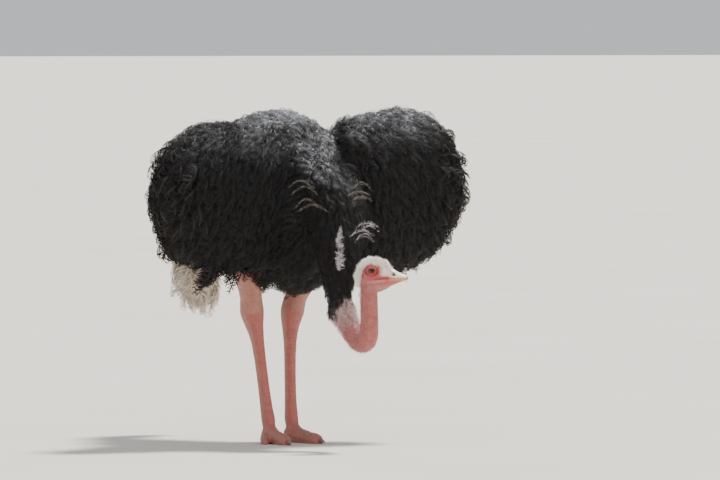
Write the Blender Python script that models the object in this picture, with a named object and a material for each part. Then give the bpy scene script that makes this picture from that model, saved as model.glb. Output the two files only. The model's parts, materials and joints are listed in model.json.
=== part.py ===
"""Male Masai ostrich, life size, standing with its wings held out and its neck drooped in a low loop.

The bird faces -Y, its left side is +X, and its soles lie on Z = 0. Every piece is a closed loft, union or cut
of lofts, and neighbours keep a hair's gap. The frame's origin is the bottom centre of the whole bird's box.
"""

import math

import bmesh
import bpy
from mathutils import Vector

# ---- Driving sizes, in metres ----
GAP = 0.0004  # free space kept between neighbouring pieces
WING_OFF_THIGH = 0.022  # room between a wing's plumes and the bare thigh
SHARP_EDGE_GAP = 0.0012  # the gap beside a wing, whose edge is sharp
BODY_SIDES = 18  # corners round a section of the trunk or a wing
HEAD_SIDES = 16
TUBE_SIDES = 14  # corners round a section of the neck, a leg or the tail
TOE_SIDES = 10

BACK_HEIGHT = 1.342  # top of the plumage on the back
LEFT_WING_REACH = 0.730  # midline to the outermost plume tip
RIGHT_WING_REACH = 0.710
LEFT_WING_DROP = 0.0  # how far a wing's crown is let down
RIGHT_WING_DROP = 0.052
LEFT_HEM_LIFT = 0.0  # how far the plume ends below are drawn up at the wing's tip
RIGHT_HEM_LIFT = 0.040
WING_LEAN = 0.16  # how far the hanging plumes trail backwards for each metre down
HEM_SCALLOP = 0.009  # depth of the waves that the plume ends make along a wing's hem
HEM_WAVES = 9

ANKLE_HEIGHT = 0.525
TOE_TURN = math.radians(7)  # each foot's big toe points this far outwards

HEAD_LENGTH = 0.2125  # down behind the crown to the bill's tip
HEAD_HEADING = Vector((0.866, -0.5, 0.0))  # the way the bill points: forwards and to the bird's left
HEAD_BACK = Vector((-0.092, -0.755, 0.0))  # the nape, in plan
MOUTH_HEIGHT = 0.685
EYE_RADIUS = 0.0218
EYE_ALONG = 0.067  # from the nape, along the head
EYE_HEIGHT = 0.7145
EYE_SPREAD = 0.0228  # midline to the eyeball's centre
CLAW_LENGTH = 0.036

# ---- Sections ----
# Trunk with its plumage: place along Y, half width, top, underside.
TRUNK = [
    (-0.485, 0.060, 1.010, 0.880),
    (-0.450, 0.125, 1.085, 0.775),
    (-0.370, 0.190, 1.165, 0.670),
    (-0.240, 0.240, BACK_HEIGHT - 0.065, 0.600),
    (-0.080, 0.268, BACK_HEIGHT - 0.008, 0.578),
    (0.060, 0.278, BACK_HEIGHT, 0.660),
    (0.210, 0.268, BACK_HEIGHT - 0.030, 0.755),
    (0.350, 0.235, BACK_HEIGHT - 0.085, 0.825),
    (0.460, 0.175, BACK_HEIGHT - 0.145, 0.875),
    (0.530, 0.100, BACK_HEIGHT - 0.210, 0.940),
]
TRUNK_ENDS = ((-0.500, 0.945), (0.560, 1.030))

# A wing: place along X before it is drawn to its reach, crown, hem, centre along Y, half thickness.
WING = [
    (0.060, 1.200, 0.960, -0.210, 0.070),
    (0.110, 1.285, 0.830, -0.215, 0.120),
    (0.190, 1.322, 0.715, -0.215, 0.140),
    (0.300, 1.335, 0.672, -0.190, 0.178),
    (0.410, 1.350, 0.656, -0.160, 0.195),
    (0.510, 1.338, 0.670, -0.165, 0.185),
    (0.600, 1.285, 0.708, -0.180, 0.160),
    (0.670, 1.205, 0.790, -0.200, 0.125),
    (0.722, 1.115, 0.905, -0.220, 0.080),
]
WING_ENDS = ((0.040, 1.080), (0.745, 1.000))

# White plumes behind a wing's hand: the same columns.
PRIMARIES = [
    (0.312, 0.900, 0.735, 0.055, 0.036),
    (0.355, 0.985, 0.682, 0.062, 0.060),
    (0.415, 1.010, 0.676, 0.060, 0.072),
    (0.480, 0.985, 0.714, 0.045, 0.066),
    (0.530, 0.935, 0.795, 0.015, 0.046),
]
PRIMARIES_ENDS = ((0.292, 0.805), (0.552, 0.865))

# Neck's centre line with its half widths, from inside the breast to under the jaw.
NECK = [
    (0.000, -0.330, 1.010, 0.150, 0.150),
    (0.000, -0.420, 0.965, 0.140, 0.140),
    (-0.020, -0.485, 0.865, 0.122, 0.120),
    (-0.044, -0.539, 0.735, 0.096, 0.095),
    (-0.058, -0.569, 0.622, 0.070, 0.070),
    (-0.056, -0.590, 0.552, 0.053, 0.053),
    (-0.041, -0.614, 0.498, 0.0440, 0.0440),
    (-0.033, -0.650, 0.458, 0.0415, 0.0415),
    (-0.032, -0.694, 0.435, 0.0430, 0.0430),
    (-0.033, -0.737, 0.433, 0.0420, 0.0420),
    (-0.038, -0.773, 0.455, 0.0385, 0.0385),
    (-0.045, -0.792, 0.506, 0.0360, 0.0365),
    (-0.047, -0.793, 0.562, 0.0350, 0.0370),
    (-0.047, -0.788, 0.624, 0.0350, 0.0395),
    (-0.045, -0.782, 0.688, 0.0300, 0.0360),
]
NECK_STEPS = 3  # rings made for each span of the line
NECK_CUTS = {"neck_base": 14, "neck_lower": 20, "neck_bend": 33, "neck_upper": 39}  # last ring of each length

# Head: place along the head, half width, top, underside.
HEAD = [
    (0.0040, 0.014, 0.708, 0.668),
    (0.0130, 0.026, 0.730, 0.648),
    (0.0270, 0.034, 0.751, 0.634),
    (0.0480, 0.040, 0.766, 0.626),
    (0.0720, 0.041, 0.769, 0.624),
    (0.0960, 0.038, 0.766, 0.628),
    (0.1180, 0.032, 0.759, 0.636),
    (0.1360, 0.027, 0.748, 0.645),
    (0.1500, 0.022, 0.733, 0.655),
    (0.1600, 0.013, 0.718, 0.672),
]
HEAD_ENDS = ((0.0, 0.688), (0.165, 0.700))

# Bill: place along the head, half width, top of the upper half, underside of the lower half.
BILL = [
    (0.120, 0.0265, 0.725, 0.647),
    (0.140, 0.0255, 0.723, 0.651),
    (0.157, 0.0240, 0.717, 0.658),
    (0.172, 0.0222, 0.707, 0.6640),
    (0.188, 0.0200, 0.6995, 0.6700),
    (0.201, 0.0150, 0.6945, 0.6745),
    (0.208, 0.0090, 0.6910, 0.6780),
]

# Tail's centre line with half width and half depth, from inside the rump to the plume ends.
TAIL = [
    (0.0, 0.395, 1.065, 0.110, 0.085),
    (0.0, 0.490, 1.070, 0.140, 0.100),
    (0.0, 0.585, 1.030, 0.148, 0.103),
    (0.0, 0.650, 0.945, 0.138, 0.094),
    (0.0, 0.685, 0.825, 0.112, 0.080),
    (0.002, 0.700, 0.705, 0.106, 0.066),
    (0.006, 0.705, 0.605, 0.098, 0.050),
    (0.010, 0.705, 0.540, 0.074, 0.034),
]
TAIL_END = (0.012, 0.705, 0.495)

# Left leg's centre line: inside the flank, knee, calf, ankle joint, tarsus, toe joint.
LEG = [
    (0.135, 0.075, 1.000, 0.080, 0.140),
    (0.155, 0.045, 0.900, 0.095, 0.160),
    (0.162, 0.015, 0.810, 0.090, 0.140),
    (0.148, 0.018, 0.720, 0.070, 0.100),
    (0.128, 0.036, 0.640, 0.049, 0.065),
    (0.110, 0.056, 0.580, 0.042, 0.050),
    (0.100, 0.066, ANKLE_HEIGHT, 0.047, 0.052),
    (0.090, 0.063, 0.470, 0.035, 0.040),
    (0.081, 0.052, 0.400, 0.024, 0.030),
    (0.071, 0.034, 0.270, 0.021, 0.026),
    (0.063, 0.014, 0.140, 0.023, 0.028),
    (0.059, 0.000, 0.075, 0.029, 0.033),
]
LEG_STEPS = 2
LEG_CUTS = {"thigh": 7, "shank": 12, "tarsus": 22}
LEFT_LEG_SHIFT = 0.012  # each leg's place along Y against the line above
RIGHT_LEG_SHIFT = -0.012

# Toes: distance from the toe joint, half width, height of the top. The sole is cut flat afterwards.
BIG_TOE = [
    (-0.040, 0.009, 0.024),
    (-0.024, 0.027, 0.062),
    (0.015, 0.034, 0.077),
    (0.062, 0.027, 0.058),
    (0.095, 0.030, 0.053),
    (0.122, 0.026, 0.045),
    (0.152, 0.028, 0.043),
    (0.178, 0.023, 0.036),
    (0.190, 0.013, 0.028),
]
OUTER_TOE = [
    (-0.010, 0.020, 0.050),
    (0.035, 0.022, 0.046),
    (0.075, 0.019, 0.036),
    (0.105, 0.016, 0.030),
    (0.122, 0.009, 0.022),
]
OUTER_TOE_SPLAY = math.radians(24)
TOE_JOINT = Vector((0.059, -0.002, 0.0))
SOLE_SINK = 0.010  # how far a toe's round section goes below the floor before the flat is cut

PLUMAGE_BLACK = ("plumage_black", (0.012, 0.012, 0.014), 0.75)
PLUMAGE_WHITE = ("plumage_white", (0.70, 0.66, 0.58), 0.85)
SKIN_PINK = ("skin_pink", (0.58, 0.27, 0.23), 0.60)
DOWN_WHITE = ("down_white", (0.75, 0.70, 0.64), 0.90)
DOWN_GREY = ("down_grey", (0.42, 0.38, 0.38), 0.90)
BILL_HORN = ("bill_horn", (0.66, 0.42, 0.34), 0.40)
EYE_BROWN = ("eye_brown", (0.030, 0.014, 0.008), 0.08)
CLAW_HORN = ("claw_horn", (0.16, 0.12, 0.10), 0.45)


def clear_scene():
    for obj in list(bpy.data.objects):
        bpy.data.objects.remove(obj)


def new_collection(name):
    collection = bpy.data.collections.new(name)
    bpy.context.scene.collection.children.link(collection)
    return collection


def material(finish):
    """The named finish as a Principled BSDF, made once."""
    name, colour, roughness = finish
    found = bpy.data.materials.get(name)
    if found:
        return found
    made = bpy.data.materials.new(name)
    made.use_nodes = True
    shader = made.node_tree.nodes["Principled BSDF"]
    shader.inputs["Base Color"].default_value = (*colour, 1.0)
    shader.inputs["Roughness"].default_value = roughness
    made.diffuse_color = (*colour, 1.0)
    return made


def smooth(rows, steps):
    """Rows of numbers with a Catmull-Rom curve run through them, steps to each span."""
    padded = [rows[0], *rows, rows[-1]]
    made = []
    for spans in zip(padded, padded[1:], padded[2:], padded[3:]):
        for step in range(steps):
            t = step / steps
            row = []
            for a, b, c, d in zip(*spans):
                bend = (2 * a - 5 * b + 4 * c - d) * t**2 + (3 * b - a - 3 * c + d) * t**3
                row.append(0.5 * (2 * b + (c - a) * t + bend))
            made.append(tuple(row))
    return [*made, rows[-1]]


def ring(centre, side, up, half_side, half_up, count, half_down=None):
    """A closed section: an ellipse whose lower half may be shallower than the upper."""
    points = []
    for corner in range(count):
        turn = 2 * math.pi * corner / count
        rise = half_up if math.sin(turn) >= 0 or half_down is None else half_down
        points.append(centre + side * (half_side * math.cos(turn)) + up * (rise * math.sin(turn)))
    return points


def loft(name, rings, finish, collection):
    """A closed solid through the rings. A ring of one point is a pole, and a full end ring becomes a flat cap."""
    work = bmesh.new()
    loops = [[work.verts.new(point) for point in points] for points in rings]
    for first, second in zip(loops, loops[1:]):
        count = max(len(first), len(second))
        for i in range(count):
            j = (i + 1) % count
            corners = [first[i % len(first)], first[j % len(first)], second[j % len(second)], second[i % len(second)]]
            work.faces.new(list(dict.fromkeys(corners)))
    for end in (loops[0], loops[-1]):
        if len(end) > 1:
            work.faces.new(end)
    bmesh.ops.recalc_face_normals(work, faces=work.faces)
    bmesh.ops.triangulate(work, faces=work.faces[:])
    mesh = bpy.data.meshes.new(name)
    work.to_mesh(mesh)
    work.free()
    mesh.shade_smooth()
    mesh.set_sharp_from_angle(angle=math.radians(50))
    mesh.materials.append(material(finish))
    obj = bpy.data.objects.new(name, mesh)
    collection.objects.link(obj)
    return obj


def tube_rings(rows, first_side, count, steps):
    """Rings square to a smooth centre line, with no twist: rows hold x, y, z, half side and half up."""
    rows = smooth(rows, steps)
    centres = [Vector(row[:3]) for row in rows]
    side = first_side.copy()
    made = []
    for i, centre in enumerate(centres):
        along = (centres[min(i + 1, len(rows) - 1)] - centres[max(i - 1, 0)]).normalized()
        side = (side - along * side.dot(along)).normalized()
        made.append((centre, along, ring(centre, side, along.cross(side), rows[i][3], rows[i][4], count)))
    return made


def lengths(cuts, rings, finishes, collection):
    """Parts one tube into named lengths at the given rings, each end drawn back by half the gap."""
    made = {}
    first = 0
    for name, last in cuts.items():
        part = []
        for i in range(first, last + 1):
            centre, along, points = rings[i]
            inwards = (GAP / 2) * ((i == first) - (i == last))
            part.append([point + along * inwards for point in points])
        made[name] = loft(name, part, finishes[name], collection)
        first = last
    return made


def helper(obj, cutters):
    """Hides a cutter or a joined shape from the render."""
    for owner in list(obj.users_collection):
        owner.objects.unlink(obj)
    cutters.objects.link(obj)
    obj.hide_render = True
    obj.display_type = "WIRE"
    return obj


def boolean(obj, other, operation):
    modifier = obj.modifiers.new(operation.lower(), "BOOLEAN")
    modifier.operation = operation
    modifier.solver = "EXACT"
    modifier.object = other


def grown(obj, cutters, gap=GAP):
    """A cutter that is the object with its modifiers, swollen by a gap."""
    cutter = obj.copy()
    cutter.name = obj.name + "_cutter"
    cutters.objects.link(cutter)
    cutter.hide_render = True
    cutter.display_type = "WIRE"
    swell = cutter.modifiers.new("swell", "DISPLACE")
    swell.mid_level = 0.0
    swell.strength = gap
    return cutter


def make_trunk(collection):
    rings = [[Vector((0, TRUNK_ENDS[0][0], TRUNK_ENDS[0][1]))]]
    for y, half, top, bottom in smooth(TRUNK, 2):
        centre = Vector((0, y, (top + bottom) / 2))
        rings.append(ring(centre, Vector((1, 0, 0)), Vector((0, 0, 1)), half, (top - bottom) / 2, BODY_SIDES))
    rings.append([Vector((0, TRUNK_ENDS[1][0], TRUNK_ENDS[1][1]))])
    return loft("trunk", rings, PLUMAGE_BLACK, collection)


def wing_rings(rows, ends, mirror, drop, lift, reach, steps):
    """Sections of a wing's plumage from the shoulder outwards; mirror is 1 for the left wing and -1 for the right."""
    draw = mirror * reach / WING_ENDS[1][0]
    rings = [[Vector((draw * ends[0][0], rows[0][3], ends[0][1]))]]
    for x, top, bottom, y, half in smooth(rows, steps):
        lowered = drop * max(0.0, math.sin(math.pi * (x - 0.12) / 0.78))
        wave = HEM_SCALLOP * math.sin(HEM_WAVES * 2 * math.pi * x / WING_ENDS[1][0])
        top, bottom = top - lowered, bottom + lift * (x / WING_ENDS[1][0]) ** 2 + wave
        height = (top - bottom) / 2
        points = ring(Vector((0, y, 0)), Vector((0, 1, 0)), Vector((0, 0, 1)), half, height, BODY_SIDES)
        rings.append(
            [Vector((draw * x, point.y - WING_LEAN * point.z, (top + bottom) / 2 + point.z)) for point in points]
        )
    rings.append([Vector((draw * ends[1][0], rows[-1][3], ends[1][1] - 0.4 * drop))])
    return rings


def make_neck(collection):
    """The four lengths of the neck, and the short stub that the head grows from."""
    rings = tube_rings(NECK, Vector((1, 0, 0)), TUBE_SIDES, NECK_STEPS)
    finishes = {
        "neck_base": PLUMAGE_BLACK,
        "neck_lower": DOWN_GREY,
        "neck_bend": SKIN_PINK,
        "neck_upper": SKIN_PINK,
    }
    parts = lengths(NECK_CUTS, rings, finishes, collection)
    last = NECK_CUTS["neck_upper"]
    stub = [[point + along * (GAP / 2 * (i == 0)) for point in points]
            for i, (_, along, points) in enumerate(rings[last:])]
    return parts, loft("throat_stub", stub, SKIN_PINK, collection)


def head_point(along, height):
    return HEAD_BACK + HEAD_HEADING * along + Vector((0, 0, height))


def make_head(stub, collection, cutters):
    side = HEAD_HEADING.cross(Vector((0, 0, 1)))
    up = Vector((0, 0, 1))
    rings = [[head_point(*HEAD_ENDS[0])]]
    for along, half, top, bottom in smooth(HEAD, 2):
        rings.append(ring(head_point(along, (top + bottom) / 2), side, up, half, (top - bottom) / 2, HEAD_SIDES))
    rings.append([head_point(*HEAD_ENDS[1])])
    head = loft("head", rings, DOWN_WHITE, collection)
    boolean(head, helper(stub, cutters), "UNION")
    swollen = grown(head, cutters)
    upper, lower = [], []
    for along, half, top, bottom in smooth(BILL, 2):
        high = head_point(along, MOUTH_HEIGHT + GAP / 2)
        low = head_point(along, MOUTH_HEIGHT - GAP / 2)
        upper.append(ring(high, side, up, half, top - high.z, TOE_SIDES, half_down=0.0))
        lower.append(ring(low, -side, -up, 0.94 * half, low.z - bottom, TOE_SIDES, half_down=0.0))
    tip = head_point(HEAD_LENGTH, MOUTH_HEIGHT)
    for name, sections, lift in (("bill_upper", upper, 1), ("bill_lower", lower, -1)):
        end = tip + up * (lift * 0.0015) - HEAD_HEADING * (0.001 if lift > 0 else 0.0028)
        bill = loft(name, [*sections, [end]], BILL_HORN, collection)
        boolean(bill, swollen, "DIFFERENCE")
    for name, way in (("eye_left", -1), ("eye_right", 1)):
        place = head_point(EYE_ALONG, EYE_HEIGHT) + side * (way * EYE_SPREAD)
        eye = make_eye(name, place, collection)
        boolean(head, grown(eye, cutters), "DIFFERENCE")
    return head


def make_eye(name, place, collection):
    work = bmesh.new()
    bmesh.ops.create_uvsphere(work, u_segments=14, v_segments=8, radius=EYE_RADIUS)
    bmesh.ops.translate(work, verts=work.verts, vec=place)
    mesh = bpy.data.meshes.new(name)
    work.to_mesh(mesh)
    work.free()
    mesh.shade_smooth()
    mesh.materials.append(material(EYE_BROWN))
    eye = bpy.data.objects.new(name, mesh)
    collection.objects.link(eye)
    return eye


def make_tail(collection):
    rings = [points for _, _, points in tube_rings(TAIL, Vector((1, 0, 0)), TUBE_SIDES, 2)]
    return loft("tail", [*rings, [Vector(TAIL_END)]], PLUMAGE_WHITE, collection)


def make_leg(side, mirror, shift, collection):
    rows = [(mirror * x, y + shift, z, wide, deep) for x, y, z, wide, deep in LEG]
    rings = tube_rings(rows, Vector((1, 0, 0)), TUBE_SIDES, LEG_STEPS)
    cuts = {f"{part}_{side}": last for part, last in LEG_CUTS.items()}
    return lengths(cuts, rings, dict.fromkeys(cuts, SKIN_PINK), collection)


def toe(name, rows, start, heading, finish, collection):
    """A toe along a heading in plan, its section an ellipse that dips a little below the floor."""
    side = heading.cross(Vector((0, 0, 1)))
    rings = []
    for along, half, top in smooth(rows, 2):
        centre = start + heading * along + Vector((0, 0, (top - SOLE_SINK) / 2))
        rings.append(ring(centre, side, Vector((0, 0, 1)), half, (top + SOLE_SINK) / 2, TOE_SIDES))
    return loft(name, rings, finish, collection)


def make_foot(side, mirror, shift, tarsus, collection, cutters):
    """The pad with its big toe and its small outer toe, one flat sole under both, and the big toe's claw."""
    start = Vector((mirror * TOE_JOINT.x, TOE_JOINT.y + shift, 0))
    heading = Vector((mirror * math.sin(TOE_TURN), -math.cos(TOE_TURN), 0))
    outwards = TOE_TURN + OUTER_TOE_SPLAY
    splayed = Vector((mirror * math.sin(outwards), -math.cos(outwards), 0))
    foot = toe(f"foot_{side}", BIG_TOE, start, heading, SKIN_PINK, collection)
    outer = toe(f"outer_toe_{side}", OUTER_TOE, start + Vector((mirror * 0.012, 0.006, 0)), splayed,
                SKIN_PINK, collection)
    boolean(foot, helper(outer, cutters), "UNION")
    bpy.ops.mesh.primitive_cube_add(size=1.0, location=(start.x, start.y, -0.05))
    floor = bpy.context.active_object
    floor.name = f"floor_cutter_{side}"
    floor.scale = (0.6, 0.8, 0.1)
    boolean(foot, helper(floor, cutters), "DIFFERENCE")
    boolean(foot, grown(tarsus, cutters), "DIFFERENCE")
    tip = BIG_TOE[-1]
    base = start + heading * (tip[0] + GAP) + Vector((0, 0, 0.014))
    across = heading.cross(Vector((0, 0, 1)))
    rings = []
    for share in (0.0, 0.3, 0.6, 0.85):
        centre = base + heading * (CLAW_LENGTH * share) - Vector((0, 0, 0.006 * share**2))
        rings.append(ring(centre, across, Vector((0, 0, 1)), 0.0105 * (1 - share) ** 0.6, 0.0105 * (1 - share) ** 0.7,
                          TOE_SIDES))
    point = base + heading * CLAW_LENGTH - Vector((0, 0, 0.008))
    loft(f"claw_{side}", [*rings, [point]], CLAW_HORN, collection)
    return foot


def centre_on_origin(collection, cutters):
    """Hangs every piece on one empty and sets it so that the whole bird's box stands centred on the origin."""
    bpy.context.view_layer.update()
    graph = bpy.context.evaluated_depsgraph_get()
    corners = []
    for obj in collection.objects:
        evaluated = obj.evaluated_get(graph)
        corners += [evaluated.matrix_world @ Vector(corner) for corner in evaluated.bound_box]
    low = Vector([min(corner[axis] for corner in corners) for axis in range(3)])
    high = Vector([max(corner[axis] for corner in corners) for axis in range(3)])
    ostrich = bpy.data.objects.new("ostrich", None)
    bpy.context.scene.collection.objects.link(ostrich)
    for obj in [*collection.objects, *cutters.objects]:
        obj.parent = ostrich
    ostrich.location = (-(low.x + high.x) / 2, -(low.y + high.y) / 2, -low.z)


def main():
    clear_scene()
    collection = new_collection("ostrich")
    cutters = new_collection("cutters")
    trunk = make_trunk(collection)
    trunk_cutter = grown(trunk, cutters)
    neck, stub = make_neck(collection)
    boolean(neck["neck_base"], trunk_cutter, "DIFFERENCE")
    neck_cutter = grown(neck["neck_base"], cutters)
    make_head(stub, collection, cutters)
    tail = make_tail(collection)
    boolean(tail, trunk_cutter, "DIFFERENCE")
    for side, mirror, shift, drop, lift, reach in (
        ("left", 1, LEFT_LEG_SHIFT, LEFT_WING_DROP, LEFT_HEM_LIFT, LEFT_WING_REACH),
        ("right", -1, RIGHT_LEG_SHIFT, RIGHT_WING_DROP, RIGHT_HEM_LIFT, RIGHT_WING_REACH),
    ):
        leg = make_leg(side, mirror, shift, collection)
        thigh = leg[f"thigh_{side}"]
        thigh_room = grown(thigh, cutters, WING_OFF_THIGH)
        boolean(thigh, trunk_cutter, "DIFFERENCE")
        boolean(leg[f"shank_{side}"], trunk_cutter, "DIFFERENCE")
        make_foot(side, mirror, shift, leg[f"tarsus_{side}"], collection, cutters)
        rings = wing_rings(WING, WING_ENDS, mirror, drop, lift, reach, 3)
        wing = loft(f"wing_{side}", rings, PLUMAGE_BLACK, collection)
        wing_cutter = grown(wing, cutters, SHARP_EDGE_GAP)
        for cutter in (trunk_cutter, neck_cutter, thigh_room):
            boolean(wing, cutter, "DIFFERENCE")
        rings = wing_rings(PRIMARIES, PRIMARIES_ENDS, mirror, drop, lift, reach, 2)
        plumes = loft(f"primaries_{side}", rings, PLUMAGE_WHITE, collection)
        boolean(plumes, wing_cutter, "DIFFERENCE")
    centre_on_origin(collection, cutters)


main()
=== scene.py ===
"""Male ostrich with its wings held out and its neck in a low loop: skin, plumage, head, feet and stage."""

import contextlib
import json
import math

import bmesh
import bpy
import numpy as np
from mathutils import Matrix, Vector
from mathutils.bvhtree import BVHTree

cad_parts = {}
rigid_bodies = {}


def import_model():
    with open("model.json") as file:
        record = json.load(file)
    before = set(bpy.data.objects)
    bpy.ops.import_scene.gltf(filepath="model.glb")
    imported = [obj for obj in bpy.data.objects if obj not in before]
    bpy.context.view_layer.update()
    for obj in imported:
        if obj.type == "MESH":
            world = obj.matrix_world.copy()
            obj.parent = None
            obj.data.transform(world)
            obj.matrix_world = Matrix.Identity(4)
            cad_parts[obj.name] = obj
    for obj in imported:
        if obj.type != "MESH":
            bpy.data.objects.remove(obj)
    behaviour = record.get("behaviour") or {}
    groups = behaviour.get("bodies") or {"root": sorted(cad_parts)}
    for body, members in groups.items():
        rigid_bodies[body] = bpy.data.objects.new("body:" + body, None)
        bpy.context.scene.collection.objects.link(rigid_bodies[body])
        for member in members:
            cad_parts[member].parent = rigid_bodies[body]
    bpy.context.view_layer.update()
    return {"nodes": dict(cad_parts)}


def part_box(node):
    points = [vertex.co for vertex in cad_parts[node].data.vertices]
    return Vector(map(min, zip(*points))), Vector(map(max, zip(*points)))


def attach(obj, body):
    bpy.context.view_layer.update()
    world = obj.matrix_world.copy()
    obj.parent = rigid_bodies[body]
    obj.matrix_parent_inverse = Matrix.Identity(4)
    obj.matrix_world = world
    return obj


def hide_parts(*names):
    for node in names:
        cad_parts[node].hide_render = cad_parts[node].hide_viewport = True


bl_info = {
    "name": "Drooping Ostrich",
    "version": (1, 0, 0),
    "blender": (4, 5, 0),
    "location": "View3D > Sidebar > Ostrich",
    "description": "Skin, plumage, down, bill, eyes, claws and stage of a life-size male ostrich",
    "category": "Object",
}

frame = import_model()
UP = Vector((0, 0, 1))
BODY = "root"

# Nodes that the one skin stands for, and how far under each node's surface the skin lies.
COAT_DEPTH = {
    "trunk": 0.040, "wing_left": 0.040, "wing_right": 0.040, "neck_base": 0.026, "tail": 0.045,
    "primaries_left": 0.035, "primaries_right": 0.035, "neck_lower": 0.004, "neck_bend": 0.0012,
    "neck_upper": 0.0012, "head": 0.0005, "thigh_left": 0.0, "thigh_right": 0.0, "shank_left": 0.0,
    "shank_right": 0.0, "tarsus_left": 0.0, "tarsus_right": 0.0, "foot_left": 0.0, "foot_right": 0.0,
}
REGIONS = list(COAT_DEPTH)
SWELL = 0.0008  # the nodes swell by this before they become one skin, so that they meet
DOWN_DEPTH, NAPE_DEPTH = 0.0105, 0.004  # added under the down of crown and nape
CREST_LIFT = 0.019  # taken off where the plumage lies flat on back and wings
THICKNESS_SHARE = 0.36  # the coat is never deeper than this share of the solid under it
SOLE = 0.0004  # height of the flat soles over the ground
WINGS, HANDS = ("wing_left", "wing_right"), ("primaries_left", "primaries_right")
THIGHS, SHANKS = ("thigh_left", "thigh_right"), ("shank_left", "shank_right")
SHINS, FEET = ("tarsus_left", "tarsus_right"), ("foot_left", "foot_right")
NECK = ("neck_bend", "neck_upper", "neck_lower")
PLUMED = ("trunk", *WINGS, "neck_base", "tail", *HANDS)

# The white nodes, and the share of their height above which black plumes lie over them.
BLACK_TOP = {"primaries_left": 0.50, "primaries_right": 0.66, "tail": 0.80}


# ---- Masks and curves ----
def region_mask(regions, *names):
    """1 where a point belongs to one of the named nodes, else 0."""
    return np.isin(regions, [REGIONS.index(name) for name in names]).astype(float)


def smoothstep(value, low, high):
    share = np.clip((value - low) / (high - low), 0.0, 1.0)
    return share * share * (3 - 2 * share)


def bump(value, middle, width):
    """A soft bell, 1 at its middle."""
    return np.exp(-(((value - middle) / width) ** 2))


def bell_window(values, low, high, soft=0.02):
    """1 between low and high, with soft ends."""
    return smoothstep(values, low - soft, low + soft) * (1 - smoothstep(values, high - soft, high + soft))


def wave(values, length, phase=0.0):
    return np.sin(values * 2 * math.pi / length + phase)


def along_rows(values, rows):
    """The second number of the rows, read off at values of the first."""
    return np.interp(values, *zip(*rows))


# ---- The head's own axes, from the two eyes and the bill ----
def centre(node):
    low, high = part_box(node)
    return (low + high) / 2


EYE_LEFT, EYE_RIGHT = centre("eye_left"), centre("eye_right")
EYE_MIDDLE = (EYE_LEFT + EYE_RIGHT) / 2
EYE_SPREAD = (EYE_RIGHT - EYE_LEFT).length / 2
EYE_RADIUS = (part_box("eye_left")[1].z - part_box("eye_left")[0].z) / 2
EYE_OPENING = 0.0112  # half the gap between the lids
EYE_ALONG = 0.067  # from behind the crown to the eyes, along the head
EAR_ALONG, EAR_HEIGHT = 0.033, -0.0245
FACE_HALF = 0.012  # both eyes lie further than this from the head's middle
HEAD_SIDE = (EYE_RIGHT - EYE_LEFT).normalized()  # towards the right eye
HEAD_AHEAD = UP.cross(HEAD_SIDE)
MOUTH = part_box("bill_upper")[0].z - EYE_MIDDLE.z

# Lower edge of the crown's down: place along the head, height above the eyes.
CROWN_EDGE = (
    (0.018, -0.130), (0.023, -0.062), (0.027, -0.030), (0.033, -0.004), (0.045, 0.017),
    (0.067, 0.0245), (0.090, 0.0190), (0.110, 0.0100), (0.132, -0.0010), (0.160, 0.0000),
)


def head_axes(points):
    """Each point's place along the head, to its right side, and its height above the eyes."""
    offset = points - np.array(EYE_MIDDLE)
    return offset @ np.array(HEAD_AHEAD) + EYE_ALONG, offset @ np.array(HEAD_SIDE), offset[:, 2]


def head_place(along, side, height):
    """The point at that place on the head's axes, with the height counted from the eyes."""
    return EYE_MIDDLE + HEAD_AHEAD * (along - EYE_ALONG) + HEAD_SIDE * side + UP * height


def ear_distance(along, height, stretch=0.8):
    return np.hypot((along - EAR_ALONG) / stretch, height - EAR_HEIGHT)


def gape_height(along):
    """The height of the mouth's line, which droops behind the bill."""
    return -0.0310 - 0.0035 * smoothstep(-along, -0.125, -0.080)


def crown_share(along, height):
    """1 on the downy crown and nape, 0 on the bare face."""
    edge = np.where(along < CROWN_EDGE[0][0], -0.2, along_rows(along, CROWN_EDGE))
    return smoothstep(height - edge, -0.002, 0.005)


# The front quarter from which the bird is mostly seen: across it to the right, and towards the viewer.
QUARTER = math.radians(-30)
QUARTER_RIGHT = Vector((math.cos(QUARTER), math.sin(QUARTER), 0))
QUARTER_NEAR = Vector((math.sin(QUARTER), -math.cos(QUARTER), 0))


def across_of(points):
    """Each point's place to the right as seen from the front quarter."""
    return points @ np.array(QUARTER_RIGHT)


# ---- Small tools ----
def new_object(name, mesh):
    obj = bpy.data.objects.new(name, mesh)
    bpy.context.scene.collection.objects.link(obj)
    return obj


def mesh_from(name, points, faces):
    mesh = bpy.data.meshes.new(name)
    mesh.from_pydata([tuple(p) for p in points], [], [tuple(f) for f in faces])
    mesh.update()
    return mesh


@contextlib.contextmanager
def edited(mesh):
    """Opens a mesh for changes to its points and faces, and writes them back at the end."""
    work = bmesh.new()
    work.from_mesh(mesh)
    work.verts.ensure_lookup_table()
    yield work
    work.to_mesh(mesh)
    work.free()


def read(items, key, width=1, kind=np.float32):
    """One number, or a row of them, for each of a mesh's items."""
    flat = np.empty(len(items) * width, kind)
    items.foreach_get(key, flat)
    return flat.reshape(-1, width) if width > 1 else flat


def coordinates(mesh):
    return read(mesh.vertices, "co", 3).astype(float)


def set_coordinates(mesh, points):
    mesh.vertices.foreach_set("co", np.ascontiguousarray(points, np.float32).ravel())
    mesh.update()


def vertex_normals(mesh):
    return read(mesh.vertex_normals, "vector", 3).astype(float)


def edge_ends(mesh):
    return read(mesh.edges, "vertices", 2, np.int32)


def neighbour_mean(values, ends, count):
    """The mean of each point's neighbours along the edges."""
    total = np.zeros_like(values)
    np.add.at(total, ends[:, 0], values[ends[:, 1]])
    np.add.at(total, ends[:, 1], values[ends[:, 0]])
    return total / (count[:, None] if values.ndim > 1 else count)


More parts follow.
